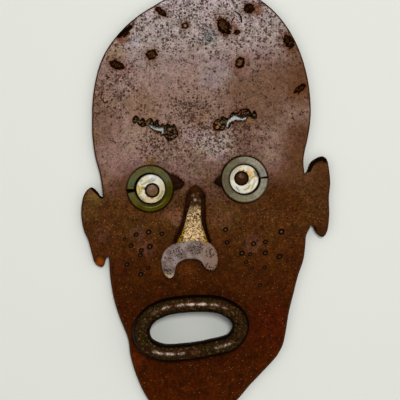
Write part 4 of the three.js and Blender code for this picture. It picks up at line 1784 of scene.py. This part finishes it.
@dataclass
class LockWasher:
    """A split spring washer whose far end climbs and springs outward."""

    side: str
    x: float
    y: float
    split: float
    gap: float
    finish: Finish
    outer: float = 16.5
    inner: float = 11.05
    thickness: float = 4.0
    corner: float = 0.7
    rise: float = 0.8
    splay: float = 0.5
    pitting: float = 0.22
    pit_size: float = 1.6
    steps: int = 150
    corner_steps: int = 4
    side_cuts: int = 5

    def build(self) -> None:
        """Grow the washer along its arc, the far half of it climbing."""
        sizes = {
            "radius": (self.outer + self.inner) / 2 * METRES,
            "width": (self.outer - self.inner) * METRES,
            "thickness": self.thickness * METRES,
            "corner": self.corner * METRES,
            "start": math.radians(self.split + self.gap / 2),
            "sweep": math.radians(360 - self.gap),
            "rise": self.rise * METRES,
            "splay": self.splay * METRES,
            "pitting": self.pitting * METRES,
        }
        grown = GrownPiece(f"{self.side}_eye_spring_lock_washer", self.finish, **sizes)
        bend = {"Radius": grown.size("radius"), "Start Angle": grown.size("start")}
        bend["Sweep Angle"] = grown.size("sweep")
        arc = grown.get("GeometryNodeCurveArc", {"Resolution": self.steps, **bend}, mode="RADIUS")
        keep = grown.add("GeometryNodeCaptureAttribute", domain="POINT")
        keep.capture_items.new("FLOAT", "Round")
        grown.feed(keep.inputs["Geometry"], arc)
        grown.feed(keep.inputs["Round"], grown.get("GeometryNodeSplineParameter"))
        lift = Reading(grown, keep.outputs["Round"]).ramp(0.5, 1.0)
        box = {"Width": grown.size("width"), "Height": grown.size("thickness")}
        box = grown.get("GeometryNodeCurvePrimitiveQuadrilateral", box, mode="RECTANGLE")
        soft = {"Curve": box, "Count": self.corner_steps, "Radius": grown.size("corner")}
        soft = grown.get("GeometryNodeFilletCurve", soft, mode="POLY")
        section = grown.get("GeometryNodeSubdivideCurve", {"Curve": soft, "Cuts": self.side_cuts})
        bar = grown.tube(Reading(grown, keep.outputs["Geometry"]), section, True)
        pitted = grown.roughen(bar, self.pit_size, grown.size("pitting"), self.x)
        x, y, z = grown.split(grown.place)
        spread = lift * (grown.size("splay") / grown.size("radius")) + 1.0
        place = grown.combine(
            x * spread + self.x * METRES,
            y * spread + self.y * METRES,
            z + (PLATE_TOP + self.thickness / 2) * METRES + lift * grown.size("rise"),
        )
        placed = grown.move(pitted, "Position", place)
        self.mark_rim(grown.grow(placed, bpy.data.meshes.new("seed"), f"{self.side}_eye_lock_washer").data)

    def mark_rim(self, mesh: Mesh) -> None:
        """Mark the washer's walls and split ends for painted shade.

        Args:
            mesh: The washer's mesh.
        """
        points = np.array([vert.co for vert in mesh.vertices]) / METRES
        right, up = points[:, 0] - self.x, points[:, 1] - self.y
        radius = np.hypot(right, up)
        inner = fade(radius, self.inner + 0.5, self.inner + 1.3) * 0.45
        outer = fade(radius, self.outer, self.outer - 0.8) * 0.8
        angle = np.degrees(np.arctan2(up, right)) - self.split
        ends = fade(np.abs((angle + 180) % 360 - 180) - self.gap / 2, 0.6, 2.6)
        store(mesh, Mark.RIM.value, np.maximum.reduce([inner, outer, ends]))


@dataclass
class FlatWasher:
    """A flat washer with its hole off centre, its coat crinkled and creased."""

    side: str
    x: float
    y: float
    hole_x: float
    hole_y: float
    creases: Sequence[Rows]
    finish: Finish = FlatWasherFinish()
    outer: float = 10.35
    hole: float = 5.2
    thickness: float = 2.2
    corner: float = 0.35
    crinkle: float = 0.3
    crease_depth: float = 0.15
    steps: int = 144
    rings: int = 18

    def build(self) -> None:
        """Make the washer ring by ring, from the bore over the top to the outer wall and back below."""
        stock = MeshStock()
        top = self.thickness
        section = [(0.0, 0.0), (0.0, top * 0.5), (0.0, top - self.corner)]
        section += [(share, top) for share in np.linspace(0.06, 0.95, self.rings)]
        section += [(1.0, top - self.corner), (1.0, top * 0.5), (1.0, 0.0)]
        bore = circle(self.steps) * self.hole + (self.hole_x, self.hole_y)
        rim = circle(self.steps) * self.outer
        rings = []
        for share, z in section:
            flat = bore * (1 - share) + rim * share + (self.x, self.y)
            folds = rough(flat, 1.7, 3.3) + 0.5 * rough(flat, 0.8, 5.1)
            drop = self.crinkle * (0.5 - 0.5 * folds) if z > top - 2 * self.corner else 0.0
            beside = near([walk(line) for line in self.creases], flat)
            # The creases are sunk a little and marked for painted shade, narrow in them and soft beside
            # them.
            creased, sunk = fade(beside, 0.15, 0.6), fade(beside, 0.2, 2.0)
            drop = drop + (self.crease_depth * creased + self.crease_depth * sunk) * (z == top)
            # The bore is marked for brown, partly rust and partly painted shade, and the outer edge for
            # painted shade.
            stain_and_painted_light = 1.0 if share == 0.0 else 0.6 * fade(share, 1.0, 0.9)
            marks = {Mark.RIM: stain_and_painted_light, Mark.SCORCH: creased, Mark.HALO: sunk}
            rings.append(stock.add(flat, PLATE_TOP + z - drop, marks))
        for inner, outer in zip(rings, [*rings[1:], rings[0]]):
            stock.band(inner, outer)
        stock.make(f"{self.side}_eye_coated_flat_washer", self.finish, f"{self.side}_eye_flat_washer")


@dataclass
class PupilRod:
    """A cut rod end, low domed, lumpy with rust."""

    side: str
    x: float
    y: float
    finish: Finish = RodFinish()
    radius: float = 4.4
    wall: float = 2.7
    dome: float = 0.9
    lumps: float = 0.12
    pits: float = 0.22
    steps: int = 64
    rings: int = 12

    def build(self) -> None:
        """Make the rod end ring by ring, up its wall and in over its face."""
        stock = MeshStock()
        shares = [(1.0, 0.0), (1.0, 0.5), (1.0, 0.9), (0.98, 1.0)]
        shares += [(share, 1.0) for share in np.linspace(0.93, 0.06, self.rings)]
        rings = []
        for share, climb in shares:
            flat = circle(self.steps) * self.radius * share + (self.x, self.y)
            flat = flat - circle(self.steps) * (self.lumps * lumpy(flat, 1.4, 8.8))[:, None]
            pits = self.pits * lumpy(flat, 1.1, 2.7) if climb > 0.8 else 0.0
            z = self.wall * climb + self.dome * math.sqrt(max(0.0, 1 - share**2)) - pits
            # The rod's outer rim is marked for painted shade.
            rings.append(stock.add(flat, PLATE_TOP + z, {Mark.RIM: fade(share, 1.0, 0.84)}))
        for lower, upper in zip(rings, rings[1:]):
            stock.band(lower, upper)
        for ring, level in ((rings[-1], PLATE_TOP + self.wall + self.dome - 0.1), (rings[0], PLATE_TOP)):
            middle = stock.add(np.array([[self.x, self.y]]), level)
            stock.fill(np.column_stack([ring, np.roll(ring, -1), np.broadcast_to(middle, self.steps)]))
        stock.make(f"{self.side}_eye_rusted_pupil_rod", self.finish, f"{self.side}_eye_pupil_rod")


@dataclass
class WrenchNose:
    """The cut-off open end of a wrench, its edges rounded off and its faces pitted."""

    finish: Finish = WrenchFinish()
    node: str = "nose_wrench_end"
    grain: float = 0.5
    soften: int = 3
    dents: float = 0.16
    dent_size: float = 3.2
    pits: float = 0.08
    pit_size: float = 1.1

    def set_voxels(self, modifier: bpy.types.Modifier) -> None:
        """Set how finely the wrench is remeshed."""
        modifier.mode = "VOXEL"
        modifier.voxel_size = self.grain * METRES

    def build(self) -> None:
        """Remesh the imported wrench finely, wear its edges and pit it."""
        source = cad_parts[self.node].data.copy()
        with opened(source) as work:
            bmesh.ops.remove_doubles(work, verts=work.verts, dist=SAME_POINT)
        mesh = applied(source, "REMESH", self.set_voxels)
        all_ways = {f"use_axis_{axis}": True for axis in "xyz"}
        with opened(mesh) as work:
            for _ in range(self.soften):
                bmesh.ops.smooth_vert(work, verts=work.verts, factor=0.5, **all_ways)
            work.normal_update()
            points = np.array([vert.co for vert in work.verts]) / METRES
            depth = self.dents * lumpy(points, self.dent_size, 1.9)
            depth += self.pits * lumpy(points, self.pit_size, 4.7)
            for vert, sink in zip(work.verts, depth):
                vert.co -= vert.normal * float(sink) * METRES
        finish_object("worn_nose_wrench", mesh, self.finish, self.node)


@dataclass
class MouthLink:
    """One chain link round the mouth, hammered and pitted, flat where it is welded down."""

    finish: Finish = ChainFinish()
    # Corners of the bar's middle line.
    path: Rows = (
        (-45.8, -89.8), (-41.4, -80.4), (-30, -73.7), (-7.5, -70.6), (11.5, -72.2), (22.5, -79.3),
        (25.1, -87.5), (19.5, -97.2), (5, -102), (-14, -105.2), (-32, -105.4), (-42.6, -99.8),
    )
    bar_radius: float = 6.5
    sits_at: float = 6.1
    step: float = 0.8
    sides: int = 56
    dents: float = 0.35
    dent_size: float = 6.5
    pits: float = 0.22
    pit_size: float = 1.7
    # Where the crest's painted highlight ends, and where the flanks' painted shade begins and is full, as
    # shares of the radius.
    crest: float = 0.36
    flank: float = 0.45
    foot: float = 0.95

    def build(self) -> None:
        """Grow the bar along its path and mark its crest for a painted highlight and its flanks for painted
        shade.
        """
        loop = smooth_loop(np.array(self.path), self.step)
        count = len(loop)
        places = np.column_stack([loop, np.full(count, PLATE_TOP + self.sits_at)])
        seed = seed_mesh(places, [(i, (i + 1) % count) for i in range(count)])
        sizes = {"bar": self.bar_radius, "dents": self.dents, "pits": self.pits, "foot": PLATE_TOP}
        sizes = {label: size * METRES for label, size in sizes.items()}
        grown = GrownPiece("pitted_mouth_link", self.finish, **sizes)
        round_bar = {"Resolution": self.sides, "Radius": grown.size("bar")}
        section = grown.get("GeometryNodeCurvePrimitiveCircle", round_bar, mode="RADIUS")
        bar = grown.tube(grown.get("GeometryNodeMeshToCurve", {"Mesh": grown.start}), section, False)
        dented = grown.roughen(bar, self.dent_size, grown.size("dents"), 3)
        pitted = grown.roughen(dented, self.pit_size, grown.size("pits"), 8)
        x, y, z = grown.split(grown.place)
        flat = grown.move(pitted, "Position", grown.combine(x, y, grown.largest(z, grown.size("foot"))))
        mesh = grown.grow(flat, seed, "mouth_chain_link").data
        away = near([loop], np.array([vert.co for vert in mesh.vertices])[:, :2] / METRES)
        foot, flank = self.bar_radius * self.foot, self.bar_radius * self.flank
        # A painted highlight along the crest, and painted shade on the flanks and foot.
        store(mesh, Mark.SHINE.value, fade(away, 0.0, self.bar_radius * self.crest))
        store(mesh, Mark.RIM.value, fade(away, foot, flank))


@dataclass
class Brows:
    """Both brow slots, choked with slag."""

    slots: Loops
    left_slit: Rows = (
        (-40.7, 57.8, 0.25), (-38, 56.0, 0.6), (-35, 54.6, 0.75), (-32.4, 54.4, 1.05), (-30.9, 55.2, 0.6),
        (-30.9, 51.6, 0.35),
    )
    right_slit: Rows = (
        (15.9, 56.4, 0.35), (16.3, 59.5, 0.5), (18.6, 61.3, 0.8), (21.2, 62.9, 1.3), (24.0, 62.2, 0.85),
        (27.6, 61.6, 0.5), (29.2, 63.1, 0.35),
    )

    def build(self) -> None:
        """Choke the left slot, then the right one."""
        left, right = sorted(self.slots, key=lambda loop: loop[:, 0].mean())
        BrowSlag("left_brow_slag", left, 11, self.left_slit).build()
        BrowSlag("right_brow_slag", right, 12, self.right_slit).build()


@dataclass
class Eyes:
    """Both eyes: a lock washer, a flat washer and a rod end each."""

    olive: Finish = LockWasherFinish(
        slot=Slot.LEFT_LOCK, x=-39.7, y=11.3, lit_side=125,
        base=(66, 57, 2), pale=(88, 84, 50), tint=(64, 66, 10), dark=(22, 17, 0),
        stains_and_painted_light=(
            # The bluish greens at the upper left and upper right are painted highlights.
            (-28.5, 19.5, 5, 0.7, (88, 90, 70)), (-53, 16, 4, 0.6, (70, 84, 54)),
            (-36, 25.5, 3, 0.7, (92, 88, 34)), (-51, 2, 4, 0.6, (86, 78, 16)),
            (-25.5, 9, 7, 0.7, (46, 42, 2)), (-41, -2.5, 4, 0.6, (82, 70, 14)),
            (-51.5, 18.5, 1.6, 0.8, (52, 88, 50)),
        ),
        bevel_shades=((-36.0, -1.7, 13.0),),
    )
    grey: Finish = LockWasherFinish(
        slot=Slot.RIGHT_LOCK, x=27.95, y=18.05, lit_side=8,
        base=(94, 84, 64), pale=(140, 134, 116), tint=(112, 112, 86), dark=(34, 26, 8),
        stains_and_painted_light=(
            # The pale grey at the upper right is a painted highlight.
            (40.5, 23.6, 4, 0.8, (122, 118, 114)), (16, 24, 5, 0.5, (98, 98, 72)),
            (27, 4.2, 9, 0.7, (128, 120, 90)), (40.6, 12, 5, 0.6, (146, 142, 122)),
        ),
    )
    left_creases: Sequence[Rows] = (
        ((-46.0, 14.2), (-43.3, 15.3), (-40.8, 16.6), (-38.1, 18.9)),
        ((-40.5, 15.8), (-36.5, 17.7)),
        ((-48.4, 13.4), (-47.4, 11.0), (-47.3, 8.6), (-48.2, 6.8)),
        ((-46.4, 9.6), (-47.3, 7.6)),
        ((-46.8, 5.4), (-44.4, 3.0)),
        ((-34.1, 4.4), (-31.8, 6.6), (-30.6, 9.4)),
    )
    right_creases: Sequence[Rows] = (
        ((35.8, 20.4), (33.4, 19.4), (31.6, 17.2), (30.8, 15.4)),
        ((35.6, 16.7), (34.2, 14.0), (33.2, 11.6)),
        ((32.0, 14.0), (30.7, 11.8), (28.0, 10.4)),
        ((22.0, 12.4), (24.0, 9.8)),
        ((35.0, 24.0), (36.2, 21.9)),
    )

    def build(self) -> None:
        """Make both lock washers, then what lies in them."""
        LockWasher("left", -39.7, 11.3, 186, 9, self.olive).build()
        LockWasher("right", 27.95, 18.05, 5, 3.4, self.grey).build()
        for side, x, y, hole_x, hole_y, creases in (
            ("left", -39.35, 11.28, 1.08, -1.15, self.left_creases),
            ("right", 27.75, 18.1, -1.94, 0.72, self.right_creases),
        ):
            FlatWasher(side, x, y, hole_x, hole_y, creases).build()
            PupilRod(side, x + hole_x, y + hole_y).build()


@dataclass
class Studio:
    """Pale floor, soft light and the camera straight above the face."""

    centre_x: float = -3.96
    centre_y: float = 3.24
    distance: float = 700.0
    view_width: float = 288.0
    sensor: float = 36.0
    floor_half: float = 3000.0
    floor_drop: float = 0.05
    sky_tone: Colour = (1.0, 1.0, 0.985, 1.0)
    sky_base: float = 0.16
    sky_ring: float = 0.78
    lamp_power: float = 7.6
    lamp_size: float = 420.0
    lamp_place: tuple[float, float, float] = (170.0, 330.0, 1300.0)

    def build(self) -> None:
        """Set the camera, the floor and the light up."""
        bpy.context.scene.view_settings.view_transform = "Standard"
        self.camera()
        self.floor()
        self.sky()
        self.lamp()

    def camera(self) -> None:
        """Place the camera so that the plate's front fills the frame as it does in the picture."""
        data = bpy.data.cameras.new("camera")
        data.sensor_width = self.sensor
        data.lens = self.sensor * self.distance / self.view_width
        data.clip_end = 100
        camera = link("camera", data)
        camera.location = Vector((self.centre_x, self.centre_y, PLATE_TOP + self.distance)) * METRES
        bpy.context.scene.camera = camera

    def floor(self) -> None:
        """Lay the floor just under the mask's back."""
        corners = np.array([(-1, -1, 0), (1, -1, 0), (1, 1, 0), (-1, 1, 0)]) * self.floor_half
        mesh = bpy.data.meshes.new("floor")
        mesh.from_pydata(((corners - (0, 0, self.floor_drop)) * METRES).tolist(), [], [(0, 1, 2, 3)])
        mesh.materials.append(FloorFinish().material())
        link("floor", mesh)

    def sky(self) -> None:
        """Light the face softly from a pale ring of sky."""
        world = bpy.data.worlds.new("studio")
        world.use_nodes = True
        sketch = NodeSketch(world.node_tree)
        up = sketch.split(sketch.get("ShaderNodeTexCoord", output="Generated"))[2]
        strength = up.ramp(0.12, 0.35) * up.ramp(0.86, 0.68) * self.sky_ring + self.sky_base
        sky = sketch.get("ShaderNodeBackground", {"Color": self.sky_tone, "Strength": strength})
        sketch.add("ShaderNodeOutputWorld", {"Surface": sky})
        bpy.context.scene.world = world

    def lamp(self) -> None:
        """Hang one large lamp near the camera, aimed at the face."""
        data = bpy.data.lights.new("soft_lamp", "AREA")
        data.shape = "DISK"
        data.size = self.lamp_size * METRES
        data.energy = self.lamp_power
        lamp = link("soft_lamp", data)
        lamp.location = Vector(self.lamp_place) * METRES
        aim = Vector((self.centre_x, self.centre_y, 0)) * METRES - Vector(self.lamp_place) * METRES
        lamp.rotation_euler = aim.to_track_quat("-Z", "Y").to_euler()


def main() -> None:
    """Build the mask and its studio, piece by piece."""
    logging.basicConfig(level=logging.INFO)
    Studio().build()
    plate = FacePlate()
    plate.build()
    SpatterDrops(plate.drops).build()
    Brows(plate.brows).build()
    Eyes().build()
    WrenchNose().build()
    MouthLink().build()


if __name__ == "__main__":
    main()
